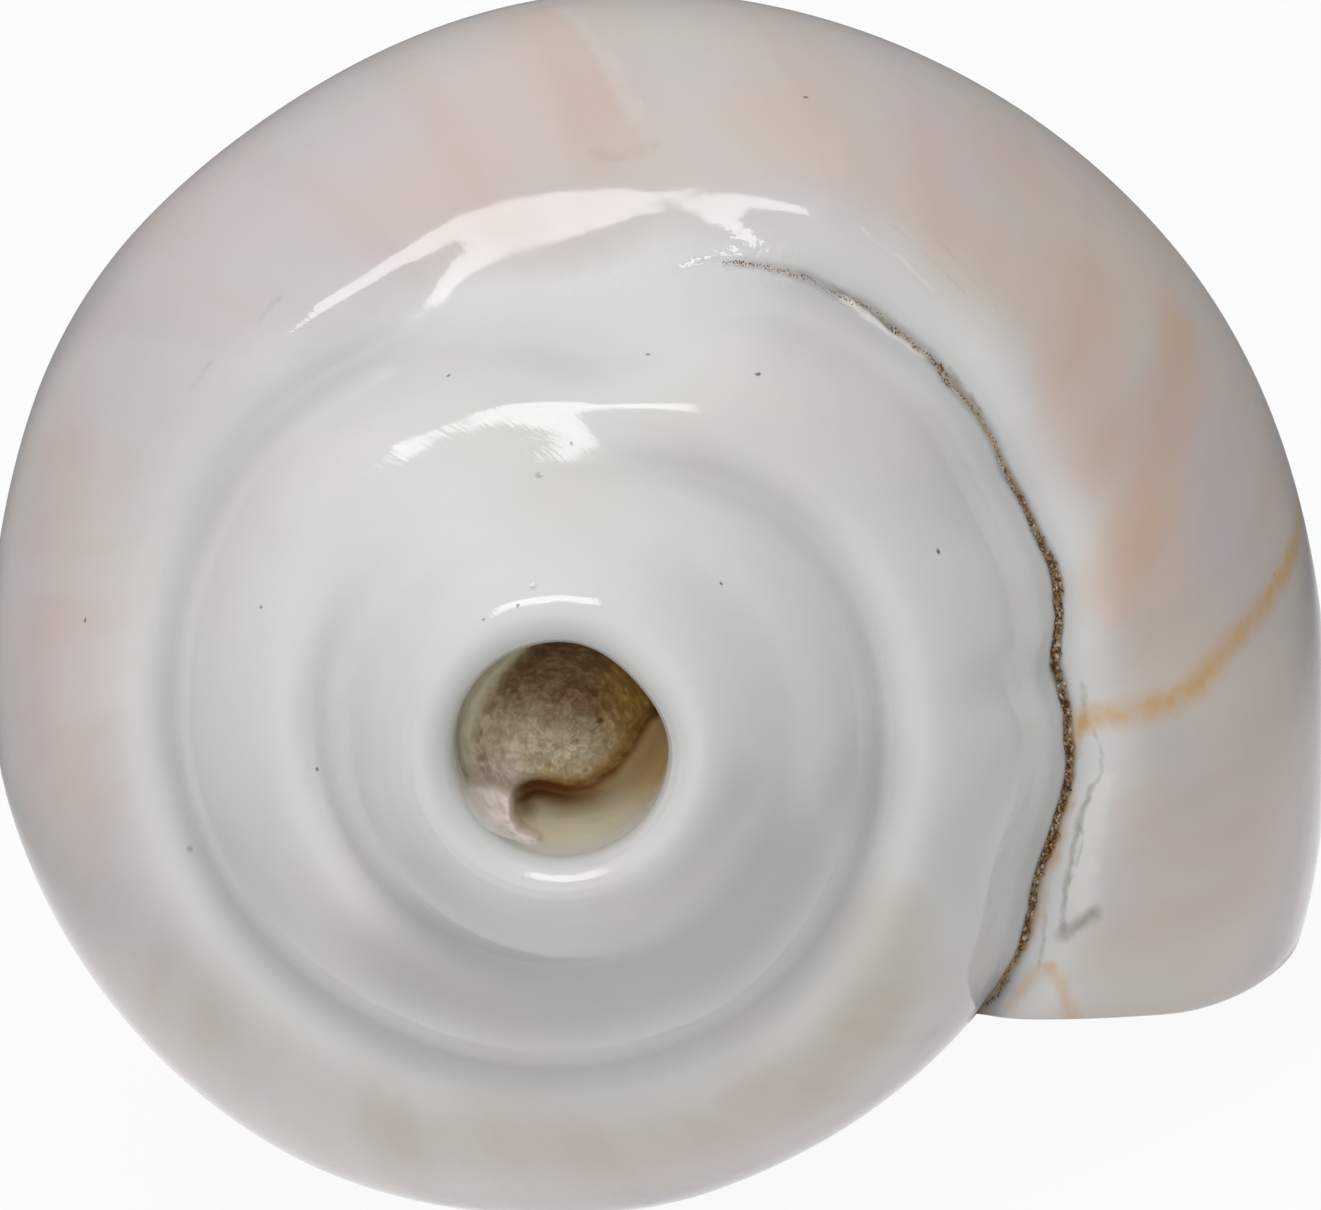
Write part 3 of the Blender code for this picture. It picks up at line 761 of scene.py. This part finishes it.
# Growth lines: faint bands along the old lips, which lean back from the shoulder, with finer
# layers between them, 0.3 mm apart
growth_age = add_node(coat, "Math", [row, GROWTH_LEAN, whorl], operation="MULTIPLY_ADD")
grains = []
for (in_whorl, in_row), kind in ((GROWTH_BANDS, {"Detail": 2.5}), (GROWTH_LAYERS, {"Detail": 1.0})):
    along_whorl = add_node(coat, "Math", [growth_age, in_whorl], operation="MULTIPLY")
    along_lip = add_node(coat, "Math", [row, in_row], operation="MULTIPLY")
    lined = add_node(coat, "CombineXYZ", [along_whorl, along_lip])
    grains.append(add_node(coat, "TexNoise", {"Vector": lined, "Scale": 1.0, **kind}))
bands, layers = grains
banded = add_node(coat, "MapRange", [bands, 0.45, 0.72, 0.0, 0.22])
covers.append((BAND_TONE, banded, flesh))

# Soft stains and the grey painted shade are patchy where the growth lines are
patchy = add_node(coat, "Math", [bands, 0.5], operation="SUBTRACT")
patchy = add_node(coat, "Math", [patchy, flesh], operation="MULTIPLY")
patchy = add_node(coat, "Math", [patchy, 1.6, 1.0], operation="MULTIPLY_ADD")
for name, (tone, strokes) in STAINS_AND_PAINTED_SHADE.items():
    cover = np.zeros(len(skin_places))
    for strength, core, edge, points in strokes:
        away = np.linalg.norm(way_from(points) / MM, axis=1)
        cover = np.maximum(cover, strength * between(edge, core, away))
    store(skin_mesh, name, cover)
    covers.append((tone, add_node(coat, "Attribute", attribute_name=name, out="Fac"), patchy))

# Thin lines and pits stray by a fraction of a millimetre, and the lines are broken here and there
stray, stray_way = list(add_node(coat, "TexNoise", {"Vector": place, "Scale": 750.0, "Detail": 3.0},
                                 out=None))[:2]
broken = add_node(coat, "MapRange", [stray, 0.38, 0.6, 1.12, 0.7])
wander = add_node(coat, "VectorMath", [stray_way, (0.5, 0.5, 0.5)], operation="SUBTRACT")
wander = add_node(coat, "VectorMath", {0: wander, 3: LINE_WANDER * MM}, operation="SCALE")
stray_place = add_node(coat, "VectorMath", [wander, place], operation="ADD")
for number, (tone, strength, core, edge, points) in enumerate(LINES):
    store(skin_mesh, f"line_{number}", way_from(points))
    way = add_node(coat, "Attribute", attribute_name=f"line_{number}", out="Vector")
    way = add_node(coat, "VectorMath", [wander, way], operation="ADD")
    away = add_node(coat, "VectorMath", [way], operation="LENGTH", out="Value")
    cover = add_node(coat, "MapRange", [away, core * MM, edge * MM, strength, 0.0],
                     interpolation_type="SMOOTHSTEP")
    covers.append((tone, cover, broken))
for tone, radius, points in PITS:
    for point in points:
        away = add_node(coat, "VectorMath", [stray_place, on_shell(*point)], operation="DISTANCE",
                        out="Value")
        cover = add_node(coat, "MapRange", [away, 0.3 * radius * MM, radius * MM, 1.0, 0.0],
                         interpolation_type="SMOOTHSTEP")
        covers.append((tone, cover))

# Brown soaks into the shell beside the open suture
open_part = add_node(coat, "MapRange", [whorl, -0.27, -0.2])
by_suture = add_node(coat, "Math", [drift, 0.34, row], operation="MULTIPLY_ADD")
soaked = add_node(coat, "MapRange", [by_suture, 0.26, 0.52, 0.75, 0.0])
covers.append((SOAKED_TONE, soaked, open_part))

# Pin holes of worm and sponge: one cell in six has one, 0.1 to 0.2 mm wide
cells = add_node(coat, "TexVoronoi", {"Vector": place, "Scale": 260.0}, out=None)
rare = add_node(coat, "Math", [cells["Color"], 0.84], operation="GREATER_THAN")
pin = add_node(coat, "MapRange", [cells["Distance"], 0.02, 0.07, 0.55, 0.0])
pin = add_node(coat, "Math", [pin, rare], operation="MULTIPLY")
covers.append((PIN_TONE, pin))

# Inside, a glaze that warms to peach a few centimetres in
covers.append((GLAZE_TONE, inside))
for tone, cover, *shares in covers:
    for share in shares:
        cover = add_node(coat, "Math", [cover, share], operation="MULTIPLY")
    colour = add_node(coat, "Mix", {0: cover, 6: colour, 7: linear(tone)}, data_type="RGBA", out=2)

# The hand polish is not quite even, and lies over shallow waves, the ends of the growth layers
# and one wrinkled spot
sheen, waves, crumple = (
    add_node(coat, "TexNoise", {"Vector": place, "Scale": scale, "Detail": 2.0})
    for scale in (130.0, 230.0, 1300.0))
rough = add_node(coat, "MapRange", [sheen, 0.35, 0.7, 0.06, 0.15])
rough = add_node(coat, "Math", [hollow_part, VALLEY_ROUGHNESS, rough], operation="MULTIPLY_ADD")
store(skin_mesh, "wrinkled", between(2.4, 0.5, np.linalg.norm(way_from(WRINKLED) / MM, axis=1)))
wrinkled = add_node(coat, "Attribute", attribute_name="wrinkled", out="Fac")
crumple = add_node(coat, "Math", [crumple, wrinkled], operation="MULTIPLY")
relief = waves
for height, share in ((crumple, 1.6), (layers, 0.09), (pin, -1.5)):
    relief = add_node(coat, "Math", [height, share, relief], operation="MULTIPLY_ADD")
bump = add_node(coat, "Bump", {"Height": relief, "Strength": 1.0, "Distance": RELIEF * MM})
surface = add_node(coat, "BsdfPrincipled",
                   {"Base Color": colour, "Roughness": rough, "Normal": bump, "IOR": 1.53})
add_node(coat, "OutputMaterial", {"Surface": surface}, out=None)
skin_mesh.materials.append(polish)


# ---- Crust in the open suture -----------------------------------------------------------------
# Where the last half turn meets the spire no wheel could reach: the suture keeps its dried brown
# skin and dirt, matted like old string. Crumbs of it are strewn along three twisted strands.

CRUST_FROM, CRUST_TO = -0.305, -0.003             # whorls back from the lip
STRANDS, TWIST_LENGTH, CRUMB_STEP = 3, 4.2, 0.2   # mm for one twist, mm between crumbs
CRUST_RADIUS, CRUMB_RADIUS = 0.19, 0.15
CRUMB_JITTER, CRUMB_SHAPES = 0.09, ((0.55, 0.5, 0.5), (1.7, 1.0, 1.0))
CRUST_HEIGHT = 0.30                               # how far its middle lies above the groove
GROOVE_UP = (0.3, -0.95)                          # the way out of it, across the shell and outwards
CRUST_THIN, CRUST_THICKENS = 0.34, (-0.20, -0.15)                  # how thin its older part is
CRUST_LUMP = (-0.232, 0.008, 0.3)                 # a lump left there: its place, length and height
CRUST_TAPERS = (-0.002, -0.063)                   # at the lip it thins to half
CRUST_TONES = ((0.36, "#553a20"), (0.5, "#94713f"), (1.0, "#ffffff"))


def make_crust_tree():
    """Crumbs along strands that twist round a path; the path's "thickness" scales them."""
    tree, given = new_tree("matted_crust", (
        ("Geometry", "Geometry"), ("Step", "Float"), ("Crumb radius", "Float"),
        ("Jitter", "Vector"), ("Seed", "Int"), ("Finish", "Material")))
    strands = add_node(tree, "GeometryNodeMeshToCurve", [given["Geometry"]])
    strands = add_node(tree, "GeometryNodeResampleCurve", {"Curve": strands, "Length": given["Step"]},
                       mode="LENGTH")
    spots = add_node(tree, "GeometryNodeCurveToPoints", {"Curve": strands}, mode="EVALUATED")
    back = add_node(tree, "VectorMath", {0: given["Jitter"], 3: -1.0}, operation="SCALE")
    ranges = ((back, given["Jitter"]), ((0.0,) * 3, (math.tau,) * 3), CRUMB_SHAPES)
    jitter, spin, stretch = (
        add_node(tree, "FunctionNodeRandomValue", {0: low, 1: high, "Seed": given["Seed"]},
                 data_type="FLOAT_VECTOR") for low, high in ranges)
    spots = add_node(tree, "GeometryNodeSetPosition", {"Geometry": spots, "Offset": jitter})
    crumb = add_node(tree, "GeometryNodeMeshIcoSphere",
                     {"Radius": given["Crumb radius"], "Subdivisions": 2})
    thick = add_node(tree, "GeometryNodeInputNamedAttribute", {"Name": "thickness"})
    size = add_node(tree, "VectorMath", {0: stretch, 3: thick}, operation="SCALE")
    mesh = add_node(tree, "GeometryNodeInstanceOnPoints",
                    {"Points": spots, "Instance": crumb, "Rotation": spin, "Scale": size})
    return end_tree(tree, mesh, given["Finish"])


# Matt, pale straw on its crumbs and umber between them
crust_finish, mat = new_material("dried_brown_skin_and_dirt")
place = add_node(mat, "TexCoord", out="Object")
grit = add_node(mat, "TexNoise", {"Vector": place, "Scale": 2600.0, "Detail": 3.0})
tone = add_node(mat, "ValToRGB", [grit])
set_tones(tone.node.color_ramp, CRUST_TONES)
grain = add_node(mat, "Bump", {"Height": grit, "Strength": 0.8, "Distance": 0.1 * MM})
dirt = add_node(mat, "BsdfPrincipled", {"Base Color": tone, "Roughness": 0.8, "Normal": grain})
add_node(mat, "OutputMaterial", {"Surface": dirt}, out=None)

turns = np.arange(CRUST_FROM, CRUST_TO, 0.0005)
crest = np.array([on_shell(turn, 0.0) for turn in turns])
outwards = np.array(rest_turn @ Vector((0.0, 1.0, 0.0)))
lift = np.array([on_shell(turn, 0.9) for turn in turns]) - crest
lift -= np.outer(lift @ outwards, outwards)
lift /= np.linalg.norm(lift, axis=1)[:, None]
groove_up = GROOVE_UP[0] * lift + GROOVE_UP[1] * outwards
crest = crest + groove_up * CRUST_HEIGHT * MM
crest = crest + lift * (crack_wander(turns * math.tau) * MM)[:, None]
run = run_along(crest) / MM
uneven = np.array([noise.noise(Vector((length / 2.5, 0.0, 5.0))) for length in run])
thickness = CRUST_THIN + (1.0 - CRUST_THIN) * between(*CRUST_THICKENS, turns)
thickness += CRUST_LUMP[2] * np.exp(-((turns - CRUST_LUMP[0]) / CRUST_LUMP[1]) ** 2)
thickness *= (0.9 + 0.6 * uneven) * (0.5 + 0.5 * between(*CRUST_TAPERS, turns))
angle = run / TWIST_LENGTH * math.tau + np.arange(STRANDS)[:, None] * math.tau / STRANDS
radius = CRUST_RADIUS * MM * thickness
strand_points = (crest + lift * (radius * np.cos(angle))[..., None]
                 + groove_up * (radius * np.sin(angle))[..., None])
strand_mesh = bpy.data.meshes.new("crust_strands")
strand_mesh.from_pydata(
    strand_points.reshape(-1, 3).tolist(),
    [(k, k + 1) for k in range(STRANDS * len(turns)) if (k + 1) % len(turns)], [])
store(strand_mesh, "thickness", np.tile(thickness, STRANDS))
crust_mesh = grow(new_object("crust_strands", strand_mesh), make_crust_tree(), {
    "Step": CRUMB_STEP * MM, "Crumb radius": CRUMB_RADIUS * MM, "Jitter": (CRUMB_JITTER * MM,) * 3,
    "Seed": 7, "Finish": crust_finish})
crust_mesh.shade_smooth()
crust = new_object("suture_crust", crust_mesh)
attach(crust, "root")


# ---- Broken inner whorls in the mouth hole ----------------------------------------------------
# The bore breaks into the first whorls: a chalky lump of old shell bulges in from one side, with
# the spiral passage open beneath it, and a thin flake of broken wall beside that. All of it is
# raw shell, never polished, brown with age where the passage goes down. The lump darkens
# towards its top: its brown mixed with painted shade under the rim.

PLUG_RADIUS, PLUG_FOOT = 6.4, 20.5                # just past the bore's wall, and its foot's height
PLUG_RINGS, PLUG_SPOKES = 110, 240
LUMP_EDGE = np.array([(-9.0, -1.4), (-3.6, -1.7), (-2.55, -2.2), (-1.7, -1.75), (-0.9, -1.75),
                      (0.35, -2.05), (1.65, -1.95), (2.9, -1.2), (3.8, -0.1), (4.4, 0.9),
                      (5.0, 1.9), (9.0, 3.6)])    # lower edge of the lump, across and up the bore
FLAKE = np.array([(-2.4, -1.4), (-2.65, -2.4), (-2.6, -3.5), (-2.2, -4.2), (-1.2, -4.6), (-0.4, -6.2)])
SLANT = (0.26, 0.91)                              # mm across and up by which the hole leans
LUMP_DEPTH, FLAKE_DEPTH, PASSAGE_DEPTH = 4.9, 5.3, 8.8             # mm below the rim
PASSAGE_RISE, SLIT_DEPTH = 2.4, 0.8               # of its far wall; of the slit under the lump
RUBBLE = (1.2, 0.8, 2.1, 3)                       # lumps in 1 mm, roughness, ratio and octaves
LUMP_PITS = ((2.35, 2.0), (1.55, -0.9), (1.1, 0.9), (-4.5, -0.3), (-4.4, 1.3), (-4.0, -0.9))
PIT_RADIUS, PIT_DEPTH = 0.13, 0.5

reach = np.linspace(0.0, 1.0, PLUG_RINGS) ** 0.8 * PLUG_RADIUS
spoke = np.arange(PLUG_SPOKES) * math.tau / PLUG_SPOKES
across, up = np.outer(reach, np.cos(spoke)), np.outer(reach, np.sin(spoke))
seen_across, seen_up = across + SLANT[0], up + SLANT[1]
seen = np.stack([seen_across.ravel(), seen_up.ravel()], axis=-1)


def beside(line):
    """How far the plug's points lie from a line, and on which side of it."""
    ways, pieces = nearest_on(seen, line)
    reach, off = (line[1:] - line[:-1])[pieces], seen - line[pieces]
    side = np.sign(reach[:, 0] * off[:, 1] - reach[:, 1] * off[:, 0])
    return np.linalg.norm(ways, axis=1).reshape(across.shape), side.reshape(across.shape)


lump_distance, lump_side = beside(LUMP_EDGE)
flake_distance, flake_side = beside(FLAKE)
lump_distance *= lump_side
passage = PASSAGE_DEPTH - PASSAGE_RISE * smooth((-lump_distance - 0.4) / 4.2)
open_side = between(-2.9, -2.0, seen_across)
slit = np.exp(-((lump_distance + 0.6) / 0.45) ** 2) * between(4.0, -1.5, seen_across)
slit = np.maximum(slit, 0.45 * np.exp(-np.hypot(seen_across + 2.0, seen_up + 3.0) ** 2 / 0.4))
passage += SLIT_DEPTH * slit
lump_depth = LUMP_DEPTH + 0.085 * ((seen_across + 1.0) ** 2 + 1.3 * (seen_up - 2.2) ** 2)
lump_depth += (0.2 + 1.5 * open_side) * (1.0 - smooth(lump_distance / 1.3)) ** 2
in_lump = between(-0.25, 0.2, lump_distance)
# It is smooth beside the bore's wall
by_wall = between(-4.3, -5.6, seen_across - 0.10 * (seen_up - 0.5) ** 2)
depth = passage + (lump_depth - passage) * in_lump
left_of_flake = between(-0.12, 0.16, -flake_distance * flake_side)
flake_depth = FLAKE_DEPTH + 0.35 * flake_distance
in_flake = left_of_flake * (1.0 - in_lump)
depth += (flake_depth - depth) * in_flake
rubble = np.array([[noise.fractal(Vector((x * RUBBLE[0], y * RUBBLE[0], 2.0)), *RUBBLE[1:])
                    for x, y in zip(*ring)] for ring in zip(across, up)])
chalky = np.maximum(in_lump, in_flake * 0.5) * (1.0 - by_wall)
depth -= 0.8 * by_wall * in_lump
depth += 0.5 * rubble * chalky + 0.05 * rubble
for pit_across, pit_up in LUMP_PITS:
    off_pit = np.hypot(seen_across - pit_across, seen_up - pit_up)
    depth += PIT_DEPTH * np.exp(-(off_pit / PIT_RADIUS) ** 2)

plug_points = np.stack([across + BORE_OFFSET[0], RIM_HEIGHT + depth, up + BORE_OFFSET[1]], axis=-1)
foot = plug_points[-1].copy()
foot[:, 1] = PLUG_FOOT
plug_points = np.concatenate([plug_points[1:].reshape(-1, 3), foot, [plug_points[0, 0]],
                              [(BORE_OFFSET[0], PLUG_FOOT, BORE_OFFSET[1])]])
faces = sheet_faces(PLUG_RINGS, PLUG_SPOKES, 0, True).tolist()
for middle, ring in ((len(plug_points) - 2, 0), (len(plug_points) - 1, PLUG_RINGS - 1)):
    faces += [(middle, ring * PLUG_SPOKES + k, ring * PLUG_SPOKES + (k + 1) % PLUG_SPOKES)
              for k in range(PLUG_SPOKES)]
plug_mesh = bpy.data.meshes.new("inner_whorls")
plug_mesh.from_pydata(in_place(plug_points * MM).tolist(), [], faces)
brown = np.clip(slit + 0.7 * np.exp(-((lump_distance + 0.2) / 0.25) ** 2)
                + 0.3 * np.exp(-((lump_distance + 1.1) / 0.8) ** 2), 0.0, 1.0)
brown *= (1.0 - in_flake) * open_side
amber = np.exp(-(lump_distance / 1.1) ** 2) * between(-2.4, 0.0, seen_across)
amber = np.maximum(amber, 0.85 * between(1.4, 4.6, seen_across) * between(-4.0, -0.8, seen_up))
pale = between(-0.8, -2.6, seen_across + 0.3 * rubble) * between(1.2, -1.3, seen_up + 0.4 * rubble)
pale *= np.maximum(in_lump, in_flake) * (1.0 - by_wall)
# Up the bore the lump turns dark: its brown, and painted shade under the rim
zones = {"lump": in_lump * (1.0 - by_wall), "flake": in_flake, "brown": brown, "amber": amber,
         "pale": pale, "brown_and_shaded_top": between(-0.2, 5.2, seen_up + 0.25 * seen_across)}
for name, values in zones.items():
    store(plug_mesh, name, np.concatenate([values[1:].ravel(), values[-1], [values[0, 0], 0.0]]))
solid = bmesh.new()
solid.from_mesh(plug_mesh)
bmesh.ops.recalc_face_normals(solid, faces=solid.faces)
solid.to_mesh(plug_mesh)
solid.free()
plug_mesh.shade_smooth()

# No polish: it scatters light like plaster
raw, chalk = new_material("raw_chalky_shell")
place = add_node(chalk, "TexCoord", out="Object")
mottle = add_node(chalk, "TexNoise", {"Vector": place, "Scale": 900.0, "Detail": 5.0,
                                      "Roughness": 0.65})
crumbs = add_node(chalk, "TexNoise", {"Vector": place, "Scale": 3200.0, "Detail": 3.0})
zones = {name: add_node(chalk, "Attribute", attribute_name=name, out="Fac") for name in zones}
dark_share = add_node(chalk, "MapRange", [mottle, 0.35, 0.65])
# The lump's dark share: a mottle, and towards its top its brown with painted shade under the rim
brown_and_shaded_top = add_node(chalk, "Math", [dark_share, 0.35, zones["brown_and_shaded_top"]], operation="MULTIPLY_ADD",
                use_clamp=True)
lump_colour = add_node(chalk, "Mix", {0: brown_and_shaded_top, 6: linear("#d2c6a9"), 7: linear("#7d5f3c")},
                       data_type="RGBA", out=2)
speck = add_node(chalk, "MapRange", [crumbs, 0.64, 0.76, 0.0, 0.4])
shade = linear("#cdc5aa")
for zone, tone, strength in (("lump", lump_colour, 1.0), ("pale", linear("#dccdc2"), 0.8),
                             ("flake", linear("#eee0da"), 0.95), ("amber", linear("#b98f38"), 0.8),
                             ("brown", linear("#7a4a16"), 0.95), ("lump", linear("#6d5639"), speck)):
    cover = add_node(chalk, "Math", [zones[zone], strength], operation="MULTIPLY")
    shade = add_node(chalk, "Mix", {0: cover, 6: shade, 7: tone}, data_type="RGBA", out=2)
grain = add_node(chalk, "Bump", {"Height": crumbs, "Strength": 0.6, "Distance": 0.06 * MM})
raw_surface = add_node(chalk, "BsdfPrincipled",
                       {"Base Color": shade, "Roughness": 0.62, "Normal": grain})
add_node(chalk, "OutputMaterial", {"Surface": raw_surface}, out=None)
plug_mesh.materials.append(raw)
plug = new_object("inner_whorls", plug_mesh)
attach(plug, "root")


# ---- Floor, light and camera ------------------------------------------------------------------
# A plain white sweep under a soft box hung above the camera, with soft light from all round. The
# floor shows nearly white but keeps the shell's shadow.

FLOOR_HALF, PAPER_TONE, NET_TONE = 8.0, "#e2e2e2", "#202022"
FLOOR_GLOW = 0.94                                 # how far the floor fades into the white behind


def seen_outright(tree):
    """1 to the eye, and in gloss and glass; 0 to all the light that the shell gets from here."""
    rays = add_node(tree, "LightPath", out=None)
    seen = add_node(tree, "Math", [rays["Is Camera Ray"], rays["Is Glossy Ray"]], operation="MAXIMUM")
    return add_node(tree, "Math", [seen, rays["Is Transmission Ray"]], operation="MAXIMUM")


floor_mesh = bpy.data.meshes.new("floor")
floor_mesh.from_pydata([(x * FLOOR_HALF, y * FLOOR_HALF, 0.0)
                        for x, y in ((-1, -1), (1, -1), (1, 1), (-1, 1))], [], [(0, 1, 2, 3)])
floor = new_object("floor", floor_mesh)
pale, sweep = new_material("white_paper_sweep")
glow = add_node(sweep, "Math", [seen_outright(sweep), FLOOR_GLOW], operation="MULTIPLY")
paper = add_node(sweep, "BsdfDiffuse", {"Color": linear(PAPER_TONE)})
white = add_node(sweep, "Emission", {"Color": (1.0, 1.0, 1.0, 1.0), "Strength": 1.0})
mixed = add_node(sweep, "MixShader", [glow, paper, white])
add_node(sweep, "OutputMaterial", {"Surface": mixed}, out=None)
floor_mesh.materials.append(pale)

# A dark net, bent round the sides and the back and over the floor, is seen by the gloss alone:
# without it the shell's edges would mirror the white floor and fade into it
NET_NEAR, NET_FAR, NET_HEIGHT, NET_BENDS, NET_RINGS = 0.05, 0.30, 0.60, 49, 65
bend, ring = np.meshgrid(np.linspace(-178.0, 178.0, NET_BENDS), np.linspace(0.0, 1.0, NET_RINGS))
away = NET_NEAR + (NET_FAR - NET_NEAR) * np.clip(ring / 0.4, 0.0, 1.0)
level = 0.002 + NET_HEIGHT * np.clip((ring - 0.4) / 0.6, 0.0, 1.0)
net_points = np.stack([np.sin(np.radians(bend)) * away, np.cos(np.radians(bend)) * away, level],
                      axis=-1)
net_mesh = bpy.data.meshes.new("dark_net")
net_mesh.from_pydata(net_points.reshape(-1, 3).tolist(), [],
                     sheet_faces(NET_RINGS, NET_BENDS, 0).tolist())
density = (between(0.0, 0.06, ring) * between(1.0, 0.42, ring) * between(178.0, 125.0, np.abs(bend))
           * (0.74 + 0.2 * between(20.0, 80.0, bend)))
store(net_mesh, "weave", density.ravel())
net_finish, felt = new_material("dark_net")
weave = add_node(felt, "Attribute", attribute_name="weave", out="Fac")
holes = add_node(felt, "BsdfTransparent")
threads = add_node(felt, "BsdfDiffuse", {"Color": linear(NET_TONE)})
woven = add_node(felt, "MixShader", [weave, holes, threads])
add_node(felt, "OutputMaterial", {"Surface": woven}, out=None)
net_mesh.materials.append(net_finish)
net = new_object("dark_net", net_mesh)
net.visible_camera = net.visible_diffuse = net.visible_shadow = False
net.visible_transmission = net.visible_volume_scatter = False

VIEW_AZIMUTH, VIEW_ELEVATION, CAMERA_LEAN = 2.55, 18.7, -9.45
look = (Matrix.Rotation(math.radians(VIEW_AZIMUTH), 3, "Z")
        @ Matrix.Rotation(math.radians(90.0 - VIEW_ELEVATION), 3, "X")
        @ Matrix.Rotation(math.radians(CAMERA_LEAN), 3, "Z"))
ROOM_DARK, ROOM_LIGHT = 0.26, 0.835               # behind the shell, and in front of its mouth hole
room_way = (look @ Vector((-0.45, 0.12, 1.0))).normalized()
world = bpy.data.worlds.new("white_surround")
world.use_nodes = True
around = world.node_tree
around.nodes.clear()
towards = add_node(around, "TexCoord", out="Generated")
towards = add_node(around, "VectorMath", [towards, room_way], operation="DOT_PRODUCT", out="Value")
ambient = add_node(around, "MapRange", [towards, -0.5, 1.0, ROOM_DARK, ROOM_LIGHT],
                   interpolation_type="SMOOTHSTEP")
strength = add_node(around, "Mix", {0: seen_outright(around), 2: ambient, 3: 1.0})
background = add_node(around, "Background", {"Color": (1.0, 1.0, 1.0, 1.0), "Strength": strength})
add_node(around, "OutputWorld", {"Surface": background}, out=None)
bpy.context.scene.world = world

DISTANCE, LENS, SENSOR = 0.380, 186.5, 36.0
AIM = (5.2, 8.3)                                  # mm right of the mouth hole and above it
rim_centre = rest_turn @ Vector((0.0, RIM_HEIGHT, 0.0)) * MM + rest_place
camera = new_object("camera", bpy.data.cameras.new("camera"))
camera.data.lens, camera.data.sensor_width, camera.data.clip_start = LENS, SENSOR, 0.01
camera.location = rim_centre + look @ (Vector((*AIM, 0.0)) * MM + Vector((0.0, 0.0, DISTANCE)))
camera.rotation_euler = look.to_euler()
bpy.context.scene.camera = camera

SOFTBOX_SIZE, SOFTBOX_DISTANCE, SOFTBOX_WATTS = (0.48, 0.17), 0.7, 1.45
softbox_way = (look @ Vector((-0.13, 0.76, 0.66))).normalized()
softbox = new_object("softbox", bpy.data.lights.new("softbox", "AREA"))
softbox.data.shape, softbox.data.energy = "RECTANGLE", SOFTBOX_WATTS
softbox.data.size, softbox.data.size_y = SOFTBOX_SIZE
softbox.location = rim_centre + softbox_way * SOFTBOX_DISTANCE
softbox.rotation_euler = softbox_way.to_track_quat("Z", "Y").to_euler()
bpy.context.scene.view_settings.view_transform = "Standard"
